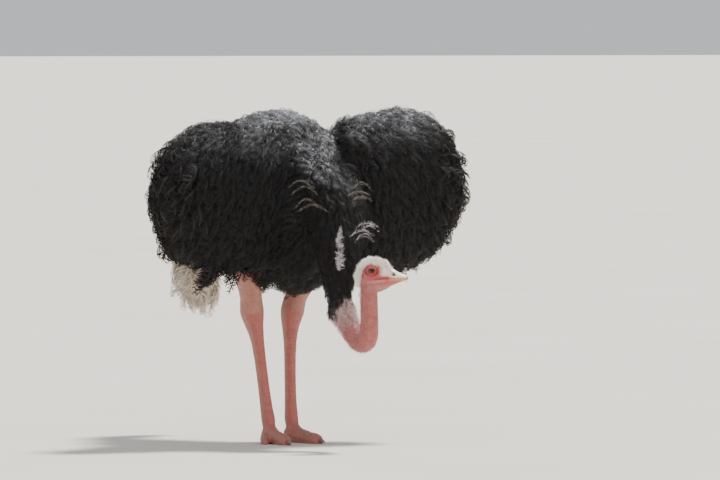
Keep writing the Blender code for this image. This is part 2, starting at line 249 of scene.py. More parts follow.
def relax(values, ends, rounds, weight=1.0, keep_size=False):
    """Smooths values over the mesh. keep_size pushes back after each round so that a shape doesn't shrink."""
    count = np.maximum(np.bincount(ends.ravel(), minlength=len(values)), 1).astype(float)
    weight = np.broadcast_to(weight, (len(values),))
    share = weight[:, None] if values.ndim > 1 else weight
    for _ in range(rounds):
        for pull in (0.5, -0.53) if keep_size else (0.5,):
            values = values + pull * share * (neighbour_mean(values, ends, count) - values)
    return values


def store(mesh, name, values):
    """Keeps a number or a vector for each point under a name that nodes can read."""
    kind, key = ("FLOAT_VECTOR", "vector") if values.ndim > 1 else ("FLOAT", "value")
    attribute = mesh.attributes.get(name) or mesh.attributes.new(name, kind, "POINT")
    attribute.data.foreach_set(key, np.ascontiguousarray(values, np.float32).ravel())


def stored(mesh, name):
    attribute = mesh.attributes[name]
    key, width = ("vector", 3) if attribute.data_type == "FLOAT_VECTOR" else ("value", 1)
    return read(attribute.data, key, width).astype(float)


def grouped(skin, *names):
    """1 on the named nodes' part of the skin."""
    return region_mask(np.round(stored(skin.data, "region")).astype(int), *names)


def unit(vectors):
    return vectors / np.maximum(np.linalg.norm(vectors, axis=1, keepdims=True), 1e-9)


def finished(obj, slot, *nodes):
    """Hands a finished piece over to the frame."""
    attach(obj, BODY)
    if nodes:
        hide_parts(*nodes)


# ---- Node trees written as sums ----
class Socket:
    """A node's output that can be used in sums."""

    def __init__(self, graph, link):
        self.graph, self.link = graph, link

    def _sum(self, operation, first, second):
        return self.graph.node(self.graph.maths, {"operation": operation}, {0: first, 1: second})

    def __add__(self, other):
        return self._sum("ADD", self, other)

    def __sub__(self, other):
        return self._sum("SUBTRACT", self, other)

    def __rsub__(self, other):
        return self._sum("SUBTRACT", other, self)

    def __mul__(self, other):
        return self._sum("MULTIPLY", self, other)

    def __rtruediv__(self, other):
        return self._sum("DIVIDE", other, self)

    def __pow__(self, other):
        return self._sum("POWER", self, other)

    __radd__ = __add__
    __rmul__ = __mul__


class Graph:
    """Builds one node tree. node() makes any node from its type, settings and socket values."""

    maths = "ShaderNodeMath"

    def __init__(self, tree):
        self.tree = tree

    def node(self, kind, settings=None, values=None, output=0):
        made = self.tree.nodes.new(kind)
        for key, value in (settings or {}).items():
            if key == "stops":
                ramp = made.color_ramp
                while len(ramp.elements) < len(value):
                    ramp.elements.new(0.5)
                for element, (place, colour) in zip(ramp.elements, value):
                    element.position, element.color = place, (*colour, 1.0)
            else:
                setattr(made, key, value)
        for key, value in (values or {}).items():
            if isinstance(value, Socket):
                self.tree.links.new(value.link, made.inputs[key])
            else:
                made.inputs[key].default_value = value
        return Socket(self, made.outputs[output])

    def clamp(self, value):
        return self.node(self.maths, {"operation": "ADD", "use_clamp": True}, {0: value, 1: 0.0})


class Finish(Graph):
    """A material's tree with the nodes that the finishes share."""

    def __init__(self, name, roughness, **constants):
        self.material = bpy.data.materials.new(name)
        self.material.use_nodes = True
        super().__init__(self.material.node_tree)
        self.shader = self.tree.nodes["Principled BSDF"]
        self.shader.inputs["Roughness"].default_value = roughness
        for key, value in constants.items():
            self.shader.inputs[key.replace("_", " ")].default_value = value
        self.place = self.node("ShaderNodeTexCoord", output=3)

    def set(self, socket, value):
        self.tree.links.new(value.link, self.shader.inputs[socket])

    def attribute(self, name):
        return self.node("ShaderNodeAttribute", {"attribute_name": name}, output=2)

    def noise(self, scale, detail):
        values = {"Vector": self.place, "Scale": scale, "Detail": detail, "Roughness": 0.55}
        return self.node("ShaderNodeTexNoise", None, values)

    def cells(self, scale):
        values = {"Vector": self.place, "Scale": scale}
        return self.node("ShaderNodeTexVoronoi", {"feature": "DISTANCE_TO_EDGE"}, values)

    def ramp(self, value, *stops):
        return self.node("ShaderNodeValToRGB", {"stops": stops}, {0: value})

    def between(self, value, low, high):
        return self.node("ShaderNodeMapRange", {"clamp": True}, {0: value, 1: low, 2: high})

    def mix(self, share, first, second, blend="MIX"):
        values = {0: share}
        for key, value in ((6, first), (7, second)):
            values[key] = value if isinstance(value, Socket) else (*value, 1.0)
        return self.node("ShaderNodeMix", {"data_type": "RGBA", "blend_type": blend}, values, output=2)

    def layers(self, colour, **over):
        """Lays each colour over the last by the attribute of its name."""
        for name, layer in over.items():
            colour = self.mix(self.attribute(name), colour, layer)
        return colour

    def relief(self, height, strength, distance):
        values = {"Height": height, "Strength": strength, "Distance": distance}
        self.set("Normal", self.node("ShaderNodeBump", None, values))


def skin_finish():
    """Bare skin: pink and mottled, redder on face and shins, white under down and black under plumes, with
    painted shade in the ear, the gape and the lids' opening.
    """
    finish, tint = Finish("ostrich_skin", 0.5, Subsurface_Weight=0.08, Subsurface_Scale=0.004), look()
    mottle, fine = finish.noise(38.0, 4.0), finish.noise(420.0, 3.0)
    pink = finish.mix(finish.between(mottle, 0.38, 0.66), tint.skin_pale, tint.skin_pink)
    red = finish.mix(finish.between(fine, 0.35, 0.70), tint.skin_red, tint.skin_pink)
    colour = finish.mix(finish.attribute("blush"), pink, red)
    colour = finish.layers(colour, grey=tint.neck_grey, horny=tint.leg_brown)
    shade = finish.ramp(finish.noise(90.0, 5.0), (0.30, (0.62, 0.60, 0.60)), (0.62, (1.0, 1.0, 1.0)))
    colour = finish.mix(0.55, colour, shade, "MULTIPLY")
    # The dark layer over ear, gape and lids' opening is painted shade.
    colour = finish.layers(colour, scute=tint.scute_colour, hollow=(0.050, 0.018, 0.016),
                           pale=(0.88, 0.80, 0.76), dark=tint.plume_black)
    finish.set("Base Color", colour)
    finish.set("Roughness", finish.between(fine, 0.2, 0.8) * 0.22 + 0.40)
    grain = finish.cells(520.0) * 0.5 + finish.noise(260.0, 4.0) + finish.cells(150.0) * 0.35
    finish.relief(grain, 0.45, 0.0016)
    return finish.material


def plume_finish(name, root, tip, weathered_and_sheen, roughness, even=(0.45, 1.15, 1.0)):
    """A plume's colour from root to tip, bleached by the sun, with a painted sheen of sunlight on the lit
    tops.

    even says how the bleaching and the painted sheen vary among plumes: the least share, what the plume's own
    tone adds to it, and the power of that tone.
    """
    finish = Finish(name, roughness, Specular_IOR_Level=0.2)
    along, tone, bleach = (finish.attribute(key) for key in ("tip", "tone", "bleach"))
    least, more, power = even
    colour = finish.mix(finish.clamp(along**2.0), root, tip)
    # Sun bleach and a painted sheen of sunlight lighten the plume towards its tip.
    worn = finish.clamp(bleach * along**1.1 * (least + tone**power * more))
    colour = finish.mix(worn, colour, weathered_and_sheen)
    colour = finish.mix(finish.clamp((tone - 0.62) * 0.9) * along, colour, (0.021, 0.015, 0.011))
    finish.set("Base Color", colour)
    return finish.material


def down_finish(name, root, tip, sheen):
    """Down or bristle: a root colour that pales towards the tip."""
    finish = Finish(name, 0.8, Sheen_Weight=sheen, Sheen_Roughness=0.5)
    along, tone = finish.attribute("tip"), finish.attribute("tone")
    finish.set("Base Color", finish.mix(finish.clamp(along * 0.8 + tone * 0.3), root, tip))
    return finish.material


# ---- The skin ----
def merged_solids():
    """Points, triangles and node numbers of the flesh nodes, each merged and swollen a little."""
    points, faces, owners = [], [], []
    for number, node in enumerate(REGIONS):
        work = bmesh.new()
        work.from_mesh(frame["nodes"][node].data)
        bmesh.ops.remove_doubles(work, verts=work.verts, dist=1e-5)
        bmesh.ops.recalc_face_normals(work, faces=work.faces)
        work.normal_update()
        start = len(points)
        points += [vert.co + vert.normal * SWELL for vert in work.verts]
        work.verts.index_update()
        faces += [[start + vert.index for vert in face.verts] for face in work.faces]
        owners += [number] * len(work.faces)
        work.free()
    return points, faces, owners


def largest_shell(work):
    """Removes every loose piece but the largest."""
    unseen, shells = set(work.verts), []
    while unseen:
        stack = [unseen.pop()]
        shell = list(stack)
        while stack:
            for edge in stack.pop().link_edges:
                for vert in edge.verts:
                    if vert in unseen:
                        unseen.remove(vert)
                        stack.append(vert)
                        shell.append(vert)
        shells.append(shell)
    shells.sort(key=len)
    for shell in shells[:-1]:
        bmesh.ops.delete(work, geom=shell, context="VERTS")


def one_shell(points, faces, voxel):
    """The solids as one closed surface."""
    obj = new_object("skin_draft", mesh_from("skin_draft", points, faces))
    remesh = obj.modifiers.new("one_shell", "REMESH")
    remesh.mode, remesh.voxel_size = "VOXEL", voxel
    graph = bpy.context.evaluated_depsgraph_get()
    mesh = bpy.data.meshes.new_from_object(obj.evaluated_get(graph))
    bpy.data.objects.remove(obj)
    with edited(mesh) as work:
        largest_shell(work)
    return mesh


def snapped(mesh, tree, owners):
    """Each point's nearest place on the solids and the node it lies on."""
    places, regions = [], []
    for point in coordinates(mesh):
        place, _, index, _ = tree.find_nearest(Vector(point))
        places.append(place)
        regions.append(owners[index])
    return np.array(places), np.array(regions)


def detail_wanted(level, places, regions):
    """Where faces are split: all that is bare, then neck, head and feet, then round eye, gape and ear."""
    if level == 0:
        return region_mask(regions, *PLUMED) == 0
    if level == 1:
        return region_mask(regions, *SHINS, *FEET, "neck_upper", "neck_bend", "head") > 0
    along, side, height = head_axes(places)
    head = (region_mask(regions, "head") > 0) & (along > -0.005) & (np.abs(side) > 0.008)
    near_eye = np.hypot(along - EYE_ALONG, height) < 0.032
    near_gape = (np.abs(height + 0.0315) < 0.011) & (along > 0.06)
    return head & (near_eye | near_gape | (ear_distance(along, height, 1.0) < 0.012))


def refine(mesh, wanted):
    """Splits each edge of the faces whose corners are all wanted."""
    with edited(mesh) as work:
        edges = set()
        for face in work.faces:
            if all(wanted[vert.index] for vert in face.verts):
                edges.update(face.edges)
        bmesh.ops.subdivide_edges(work, edges=list(edges), cuts=1, use_grid_fill=True)


def fine_shell(cell):
    """The solids' surface as one mesh, finer where it is bare. Also each point's exact place and node."""
    points, faces, owners = merged_solids()
    tree = BVHTree.FromPolygons(points, faces)
    mesh = one_shell(points, faces, cell)
    for level, rounds in enumerate((3, 5, 8, 3)):
        places, regions = snapped(mesh, tree, owners)
        places = relax(places, edge_ends(mesh), rounds, keep_size=True)
        set_coordinates(mesh, places)
        if level < 3:
            refine(mesh, detail_wanted(level, places, regions))
    return mesh, places, regions


def coat_depth(mesh, regions, points):
    """How deep under the solids' surface the skin lies, never past a share of the solid's thickness."""
    depth = np.array([COAT_DEPTH[REGIONS[region]] for region in regions])
    normals = vertex_normals(mesh)
    along, _, height = head_axes(points)
    crown = crown_share(along, height) * region_mask(regions, "head")
    nape = smoothstep(0.030 - along, 0.0, 0.012) * region_mask(regions, "neck_upper")
    above = smoothstep(normals[:, 2], 0.1, 0.7) * region_mask(regions, "trunk", *WINGS)
    depth = depth + DOWN_DEPTH * crown + NAPE_DEPTH * nape - CREST_LIFT * above
    tree = BVHTree.FromPolygons([tuple(p) for p in points], [tuple(p.vertices) for p in mesh.polygons])
    for index in np.nonzero(depth > 0.006)[0]:
        inward = -Vector(normals[index])
        _, _, _, reach = tree.ray_cast(Vector(points[index]) + inward * 0.002, inward, 0.5)
        if reach:
            depth[index] = min(depth[index], THICKNESS_SHARE * reach)
    return relax(depth, edge_ends(mesh), 10)


def shape_head(points, regions):
    """Lids, brow, cheek, gape, ears and throat folds, and each point's distance from the eye's opening."""
    along, side, height = head_axes(points)
    off_middle = smoothstep(np.abs(side), 0.004, 0.016)
    near = region_mask(regions, "head") * (along > 0)
    # The flesh draws in under the bill's horn.
    tuck = smoothstep(along, 0.122, 0.150) * near
    side = side * (1 - 0.24 * tuck)
    height = height - 0.0035 * tuck * smoothstep(height, -0.030, 0.0)
    height = height + 0.0030 * tuck * smoothstep(-height, 0.030, 0.045)
    # Cheek, the hollow in front of the eye, and brow.
    gain = 0.0022 * bump(along, 0.050, 0.020) * bump(height, -0.034, 0.014)
    gain -= 0.0030 * bump(along, 0.103, 0.014) * bump(height, -0.004, 0.014)
    gain += 0.0026 * bump(along, 0.070, 0.022) * bump(height, 0.021, 0.0055)
    # The gape runs back under the eye, between two soft lips.
    line, gape = gape_height(along), smoothstep(along, 0.068, 0.084)
    gain -= 0.0024 * gape * bump(height, line, 0.0019)
    gain += 0.0012 * gape * (bump(height, line + 0.0050, 0.0030) + bump(height, line - 0.0050, 0.0030))
    # Folds along the throat, and the ear opening.
    throat = smoothstep(-height, 0.050, 0.066) * smoothstep(along, 0.040, 0.060)
    gain += 0.0007 * throat * wave(height, 0.0062)
    ear = ear_distance(along, height)
    gain -= 0.0065 * bump(ear, 0.0, 0.0036)
    gain += 0.0010 * bump(ear, 0.0068, 0.0022)
    away = np.abs(side) + gain * near * off_middle
    # Lids round each eye.
    ahead = along - EYE_ALONG
    across = np.hypot(ahead / 1.30, height + 0.0010 + 0.06 * ahead)
    ball = EYE_SPREAD + np.sqrt(np.maximum(EYE_RADIUS**2 - np.hypot(ahead, height) ** 2, 1e-8))
    rim = ball + 0.0011 + 0.0016 * bump(across, EYE_OPENING + 0.0024, 0.0024)
    rim += 0.0004 * wave(across, 0.0042) * smoothstep(across, EYE_OPENING + 0.003, EYE_OPENING + 0.006)
    blend = 1 - smoothstep(across, EYE_OPENING + 0.0030, EYE_OPENING + 0.0125)
    lidded = rim * blend + away * (1 - blend)
    inside = 1 - smoothstep(across, EYE_OPENING - 0.0009, EYE_OPENING + 0.0006)
    target = lidded * (1 - inside) + (ball - 0.0045) * inside
    eye_zone = near * (np.abs(side) > FACE_HALF) * (across < EYE_OPENING + 0.014)
    away = np.where(eye_zone > 0, target, away) * np.where(side < 0, -1.0, 1.0)
    made = np.stack([ahead, np.where(near > 0, away, side), height], axis=1)
    made = made @ np.array([HEAD_AHEAD, HEAD_SIDE, UP]) + np.array(EYE_MIDDLE)
    return np.where(near[:, None] > 0, made, points), across


def shape_legs(points, normals, regions):
    """Scutes down the front of shins and toes, knobbly ankles and wrinkles round the neck's bend."""
    height = points[:, 2]
    shins, toes = region_mask(regions, *SHINS), region_mask(regions, *FEET)
    step = (height / 0.0135) % 1.0
    plate = (0.0022 * step**0.7 - 0.0010) * smoothstep(np.clip(-normals[:, 1], 0, 1), 0.25, 0.62)
    plate = plate * smoothstep(0.475 - height, 0.0, 0.04)
    scute = plate * shins
    step = (points[:, 1] / 0.0120) % 1.0
    above = smoothstep(np.clip(normals[:, 2], 0, 1), 0.35, 0.75)
    gain = scute + (0.0020 * (1 - step) ** 0.7 - 0.0010) * toes * above
    knob = np.sin(points[:, 0] * 310) * np.sin(height * 330 + 1.3) * np.sin(points[:, 1] * 300)
    gain += 0.0009 * knob * bump(height, 0.520, 0.040) * (shins + region_mask(regions, *SHANKS))
    wrinkles = wave(height + 0.5 * points[:, 1], 0.013, 2.0 * np.sin(points[:, 0] * 60))
    gain += 0.0005 * region_mask(regions, *NECK) * wrinkles
    return points + normals * gain[:, None], scute


def shaped_skin(cell):
    """The skin's mesh under the coat, with the head and the legs shaped."""
    mesh, places, regions = fine_shell(cell)
    ends = edge_ends(mesh)
    depth = coat_depth(mesh, regions, places)
    places = places - vertex_normals(mesh) * depth[:, None]
    hidden = relax(region_mask(regions, *PLUMED), ends, 4)
    places = relax(places, ends, 6, weight=smoothstep(hidden, 0.3, 0.9))
    set_coordinates(mesh, places)
    places, across = shape_head(places, regions)
    set_coordinates(mesh, places)
    places, scute = shape_legs(places, vertex_normals(mesh), regions)
    # The toes flow into the shins, and the soles are flat.
    ankles = region_mask(regions, *FEET, *SHINS) * bump(places[:, 2], 0.074, 0.022)
    places = relax(places, ends, 60, weight=0.9 * ankles)
    soles = (region_mask(regions, *FEET) > 0) & (places[:, 2] < 0.0035)
    places[soles, 2] = SOLE
    set_coordinates(mesh, places)
    return mesh, places, regions, across, scute


# The lower end of the black plumes round the neck: place to the right from the front quarter, and height.
CAPE_END = ((0.120, 0.490), (0.165, 0.500), (0.185, 0.545), (0.220, 0.580), (0.260, 0.600))


def black_skin(places, regions, ends, ragged):
    """Where the coat over the skin is black, and its parts on the neck and on the white nodes."""
    across = across_of(places)
    cape = smoothstep(places[:, 2] - along_rows(across + ragged, CAPE_END), -0.008, 0.012)
    cape = cape * region_mask(regions, "neck_lower", "neck_bend")
    black_top = np.zeros(len(places))
    for node, share in BLACK_TOP.items():
        low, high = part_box(node)
        edge = low.z + share * (high.z - low.z) + 0.008 * np.sin(places[:, 0] * 140)
        black_top += region_mask(regions, node) * smoothstep(places[:, 2], edge - 0.02, edge + 0.02)
    hand_edge = smoothstep(-across, 0.40, 0.44) * region_mask(regions, "primaries_right")
    black = relax(region_mask(regions, "trunk", *WINGS, "neck_base"), ends, 3)
    return np.max([black, cape, black_top, hand_edge], axis=0), cape, black_top


def grey_skin(places, regions, ragged):
    """The grey behind and below the loop of the neck."""
    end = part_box("neck_lower")[0].z + 0.045
    grey = smoothstep(places[:, 2] + ragged, end - 0.03, end + 0.05)
    grey = grey * region_mask(regions, "neck_lower", "neck_base", "neck_bend")
    return grey * smoothstep(places[:, 1], EYE_MIDDLE.y + 0.075, EYE_MIDDLE.y + 0.125)


def red_face(along, height, across):
    """A band below the eye, the lids and brow, and the jaw's line."""
    band = 1.3 * bump(height, -0.0275 - 0.05 * (along - 0.07), 0.0105) * smoothstep(along, 0.030, 0.062)
    lid = 0.78 * bump(across, 0.0175, 0.0072) + 0.6 * bump(height, 0.014, 0.007) * bump(along, 0.062, 0.026)
    jaw = 0.8 * bump(height, -0.0535 + 0.10 * (along - 0.09), 0.0042) * smoothstep(along, 0.060, 0.085)
    return band + lid + jaw


def pale_folds(along, height):
    """The pale fold under the cheek and the throat's streaks."""
    fold = 0.14 * bump(height, -0.0440 + 0.12 * (along - 0.09), 0.0046)
    fold = fold * bell_window(along, 0.045, 0.125, 0.012)
    streaks = 0.5 + 0.5 * wave(along, 0.0065, 40 * height)
    return fold + 0.16 * bump(height, -0.0700, 0.0110) * streaks * smoothstep(along, 0.028, 0.050)


def mark_skin(mesh, places, regions, across, scute):
    """Stores on the skin what the coat and the materials read."""
    ends, normals = edge_ends(mesh), vertex_normals(mesh)
    along, side, height = head_axes(places)
    head = region_mask(regions, "head") * (along > -0.01)
    crown = crown_share(along, height) * head
    ragged = 0.006 * np.sin(places[:, 0] * 240) + 0.005 * np.sin(places[:, 0] * 91 + 2)
    dark, cape, black_top = black_skin(places, regions, ends, ragged)
    front = smoothstep(-normals[:, 1], 0.2, 0.7)
    shins = region_mask(regions, *SHINS, *FEET)
    legs = shins + region_mask(regions, *THIGHS, *SHANKS)
    blush = np.clip(head * red_face(along, height, across), 0, 1) + 0.4 * shins * front
    blush += 0.10 * region_mask(regions, *NECK)
    # Painted shade in the ear opening, along the gape and in the lids' opening round the eye.
    hollow = head * bump(ear_distance(along, height), 0, 0.0034)
    hollow += 0.75 * head * smoothstep(along, 0.074, 0.09) * bump(height, gape_height(along), 0.0013)
    hollow += head * (1 - smoothstep(across, 0.0104, 0.0120)) * (np.abs(side) > FACE_HALF)
    white = region_mask(regions, *BLACK_TOP) * (1 - black_top)
    cere = head * smoothstep(along, 0.094, 0.116) * bell_window(height, -0.022, 0.012, 0.006)
    pale = 0.9 * crown + 0.8 * white + 0.75 * cere + head * pale_folds(along, height)
    lie, way = lie_of(places, normals, regions)
    for name, values in {
        "dark": dark, "grey": grey_skin(places, regions, ragged), "crown": crown, "cape": cape,
        "blush": relax(np.clip(blush, 0, 1), ends, 3), "hollow": np.clip(hollow, 0, 1),
        "pale": np.clip(pale, 0, 1), "horny": relax(0.55 * legs * (1 - 0.6 * front * shins), ends, 4),
        "scute": 0.7 * smoothstep(scute, 0.0004, 0.0010), "black_top": black_top,
        "region": regions.astype(float), "outward": normals, "lie": relax(lie, ends, 4),
        "way": relax(way, ends, 4),
    }.items():
        store(mesh, name, values)


def lie_of(points, normals, regions):
    """The way the coat lies at each point, along the skin and free of it."""
    way = np.zeros_like(points)
    for names, direction in (
        (("trunk",), (0.0, 0.9, -0.32)), (HANDS, (0.0, 0.12, -1.0)),
        (("neck_base", "neck_lower"), (0.0, -0.25, -1.0)),
        (("neck_bend", "neck_upper", *THIGHS, *SHANKS, *SHINS, *FEET), (0.0, 0.1, -1.0)),
        (("head",), -0.9 * np.array(HEAD_AHEAD) + np.array((0, 0, -0.35))),
    ):
        way[region_mask(regions, *names) > 0] = direction
    for name, mirror in zip(WINGS, (1, -1)):
        wing = region_mask(regions, name) > 0
        share = np.clip(np.abs(points[wing, 0]) / 0.7, 0, 1)
        crest = smoothstep(points[wing, 2], 1.10, 1.32)
        way[wing, 0] = mirror * (0.20 + 0.30 * share + 0.9 * crest)
        way[wing, 1] = 0.10 + 0.25 * crest
        way[wing, 2] = -1.0 + 0.45 * crest
    tail = region_mask(regions, "tail") > 0
    way[tail, 0] = 0.25 + points[tail, 0] * 2.0
    way[tail, 1] = np.interp(points[tail, 2], [0.9, 1.1], [0.10, 0.95])
    way[tail, 2] = -1.0
    way = unit(way)
    flat = way - normals * (way * normals).sum(axis=1, keepdims=True)
    return unit(flat), way


def unwrap(mesh):
    """Unwraps the skin's own shape, bare parts on one half of the map and plumed parts on the other."""
    obj = new_object("skin_unwrap", mesh)
    bpy.context.view_layer.objects.active = obj
    obj.select_set(True)
    mesh.uv_layers.new(name="OFBake")
    vertices = read(mesh.loops, "vertex_index", kind=np.int32)
    starts, totals = (read(mesh.polygons, key, kind=np.int32) for key in ("loop_start", "loop_total"))
    face_plumed = (stored(mesh, "dark") > 0.5)[vertices[starts]]
    corner_plumed = np.repeat(face_plumed, totals)
    layout = np.empty((len(mesh.loops), 2), np.float32)
    for plumed, left in ((False, 0.005), (True, 0.505)):
        mesh.polygons.foreach_set("select", face_plumed == plumed)
        bpy.ops.object.mode_set(mode="EDIT")
        bpy.ops.uv.smart_project(angle_limit=math.radians(66), island_margin=0.004)
        bpy.ops.object.mode_set(mode="OBJECT")
        chosen = corner_plumed == plumed
        layout[chosen] = read(mesh.uv_layers["OFBake"].data, "uv", 2)[chosen] * [0.49, 0.98] + [left, 0.01]
    mesh.uv_layers["OFBake"].data.foreach_set("uv", layout.ravel())
    bpy.data.objects.remove(obj)


def make_skin(cell):
    """One skin for all the flesh, with its marks and its map."""
    mesh, *shape = shaped_skin(cell)
    mark_skin(mesh, *shape)
    unwrap(mesh)
    mesh.shade_smooth()
    return new_object("skin", mesh)


# ---- Plumes, down and bristles ----
MAP_SPOT = 0.003  # how wide each plume's own spot on the skin's map is


class Spine:
    """A plume's bent middle line, a unit long: it rises by lift, sinks by sag and curls over at its end."""

    STEPS = 6

    def __init__(self, seed, lift, sag, curl):
        self.places, self.headings = [np.zeros(3)], []
        for step in range(self.STEPS):
            share = (step + 0.5) / self.STEPS
            turn = lift - sag * share - curl * max(0.0, share - 0.55) / 0.45
            heading = np.array([0.06 * math.sin(seed + 3 * share), math.cos(turn), math.sin(turn)])
            self.headings.append(heading)
            self.places.append(self.places[-1] + heading / self.STEPS)

    def at(self, share, side, rise):
        """A point beside the line, also past its end."""
        step = min(int(share * self.STEPS), self.STEPS - 1)
        heading = self.headings[step]
        above = np.array([0.0, -heading[2], heading[1]])
        place = self.places[step] + heading * (share - step / self.STEPS)
        return place + np.array([side, 0.0, 0.0]) + above * rise


def plume_mesh(name, seed, lift, sag, curl, half, barbs, barb_width, vane, loose):
    """One soft plume a unit long with a rounded end: a narrow vane and slender barbs that fan out from it."""
    rng = np.random.default_rng(seed)
    spine = Spine(seed, lift, sag, curl)
    points, faces, tips, vanes = [], [], [], []

    def add(share, side, rise):
        points.append(spine.at(share, side, rise))
        tips.append(min(1.0, share))
        vanes.append((0.5 + 0.5 * side / half, min(1.0, share)))
        return len(points) - 1

    def width_at(share):
        if share < 0.72:
            return half * min(1.0, (share / 0.40) ** 0.7)
        return half * math.sqrt(max(0.02, 1 - ((share - 0.72) / 0.36) ** 2))

    rows = []
    for step in range(spine.STEPS + 1):
        share = step / spine.STEPS
        wide = vane * (0.35 + 0.65 * math.sin(math.pi * min(0.94, share + 0.10)))
        rows.append([add(share, side * wide, -0.25 * wide) for side in (-1, 1)])
    for (a, b), (c, d) in zip(rows, rows[1:]):
        faces.append((a, b, d, c))
    for barb in range(barbs):
        side = 1 if barb % 2 else -1
        root = 0.06 + 0.86 * (barb + rng.random() * 0.8) / barbs
        end = min(1.07, root + 0.16 + 0.16 * rng.random())
        reach = width_at(end) * (0.72 + 0.38 * rng.random())
        flutter = loose * rng.normal(size=2)
        fall = -0.9 * reach * reach / half
        middle = root + (end - root) * 0.45
        wide = barb_width * (0.7 + 0.6 * rng.random())
        a, b, c, d, e = (
            add(root, side * vane * 0.5, 0.004), add(root + wide, side * vane * 0.5, 0.004),
            add(middle + wide, side * reach * 0.58, fall * 0.3 + flutter[0]),
            add(middle, side * reach * 0.58, fall * 0.3 + flutter[0]),
            add(end, side * reach, fall + flutter[1]),
        )
        faces += [(a, b, c, d), (d, c, e)]
    return variant(name, points, faces, tips, vanes)


def tuft_mesh(name, seed, hairs, spread, bend, width):
    """One small tuft a unit long: a few slender hairs that fan out and curl over."""
    rng = np.random.default_rng(seed)
    points, faces, tips, vanes = [], [], [], []
    for hair in range(hairs):
        turn = 2 * math.pi * (hair + rng.random() * 0.6) / hairs
        lean = spread * (0.4 + 0.8 * rng.random())
        size = (0.65 + 0.5 * rng.random()) / 3
        bow = bend * (0.6 + 0.8 * rng.random())
        sway = math.cos(turn) * lean
        place = np.array([sway * 0.12, math.sin(turn) * lean * 0.08, 0.0])
        climb = 1.15 + 0.25 * math.sin(turn) * spread
        across = np.array([-math.sin(turn), math.cos(turn), 0.0]) * width
        start = len(points)
        for step, wide in enumerate((1.0, 0.85, 0.6, 0.0)):
            points += [place - across * wide, place + across * wide] if wide else [place]
            tips += [step / 3] * (2 if wide else 1)
            vanes += [(0.5, step / 3)] * (2 if wide else 1)
            heading = np.array([sway, math.cos(climb), math.sin(climb)])
            place = place + heading / np.linalg.norm(heading) * size
            climb -= bow
        faces += [(start + i, start + i + 1, start + i + 3, start + i + 2) for i in (0, 2)]
        faces.append((start + 4, start + 5, start + 6))
    return variant(name, points, faces, tips, vanes)


def map_points(mesh, name, places):
    """Gives each point of the mesh its place on a map."""
    layer = mesh.uv_layers.new(name=name).data
    for loop in mesh.loops:
        layer[loop.index].uv = places[loop.vertex_index]


def variant(name, points, faces, tips, vanes):
    """An object for the coat's trees to repeat, with the share along it and its own small map."""
    mesh = mesh_from(name, points, faces)
    store(mesh, "tip", np.array(tips, float))
    map_points(mesh, "vane", vanes)
    return new_object(name, mesh)


# Plumes: how many kinds, seed, lift, sag, curl and half width with what each next kind adds to them,
# barbs, their width, the vane's width and the barbs' looseness, all for a plume a unit long.
PLUMES = {
    "laid_plume": (5, 10, 0.45, 0.75, (0.5, 0.35), (0.24, 0.02), 30, 0.026, 0.020, 0.03),
    "hem_plume": (4, 120, 0.25, 0.50, (0.5, 0.30), (0.20, 0.00), 26, 0.036, 0.024, 0.04),
    "covert_plume": (4, 20, 0.75, 1.30, (0.8, 0.40), (0.30, 0.00), 34, 0.022, 0.050, 0.03),
    "white_plume": (4, 60, 0.40, 0.80, (0.5, 0.30), (0.18, 0.00), 32, 0.020, 0.018, 0.04),
}
# Tufts: how many kinds, seed, hairs, spread, bend with what each next kind adds to it, and the hairs' width.
TUFTS = {
    "wool_tuft": (5, 40, 6, 1.00, (1.10, 0.25), 0.030),
    "crest_strand": (5, 130, 5, 0.70, (0.45, 0.15), 0.010),
    "down_tuft": (4, 80, 8, 0.60, (0.45, 0.00), 0.026),
    "fuzz_tuft": (4, 90, 3, 0.50, (0.35, 0.00), 0.030),
}


def plumes(kind):
    count, seed, lift, sag, (curl, curlier), (half, wider), *barbs = PLUMES[kind]
    return gathered(kind, [
        plume_mesh(f"{kind}_{i}", seed + i, lift, sag, curl + curlier * i, half + wider * i, *barbs)
        for i in range(count)])


def tufts(kind):
    count, seed, hairs, spread, (bend, more), width = TUFTS[kind]
    return gathered(kind, [
        tuft_mesh(f"{kind}_{i}", seed + i, hairs, spread, bend + more * i, width) for i in range(count)])


def gathered(name, objects):
    """Puts the variants in a collection of their own, which the scene doesn't show."""
    collection = bpy.data.collections.new(name + "s")
    for obj in objects:
        for owner in list(obj.users_collection):
            owner.objects.unlink(obj)
        collection.objects.link(obj)
    return collection


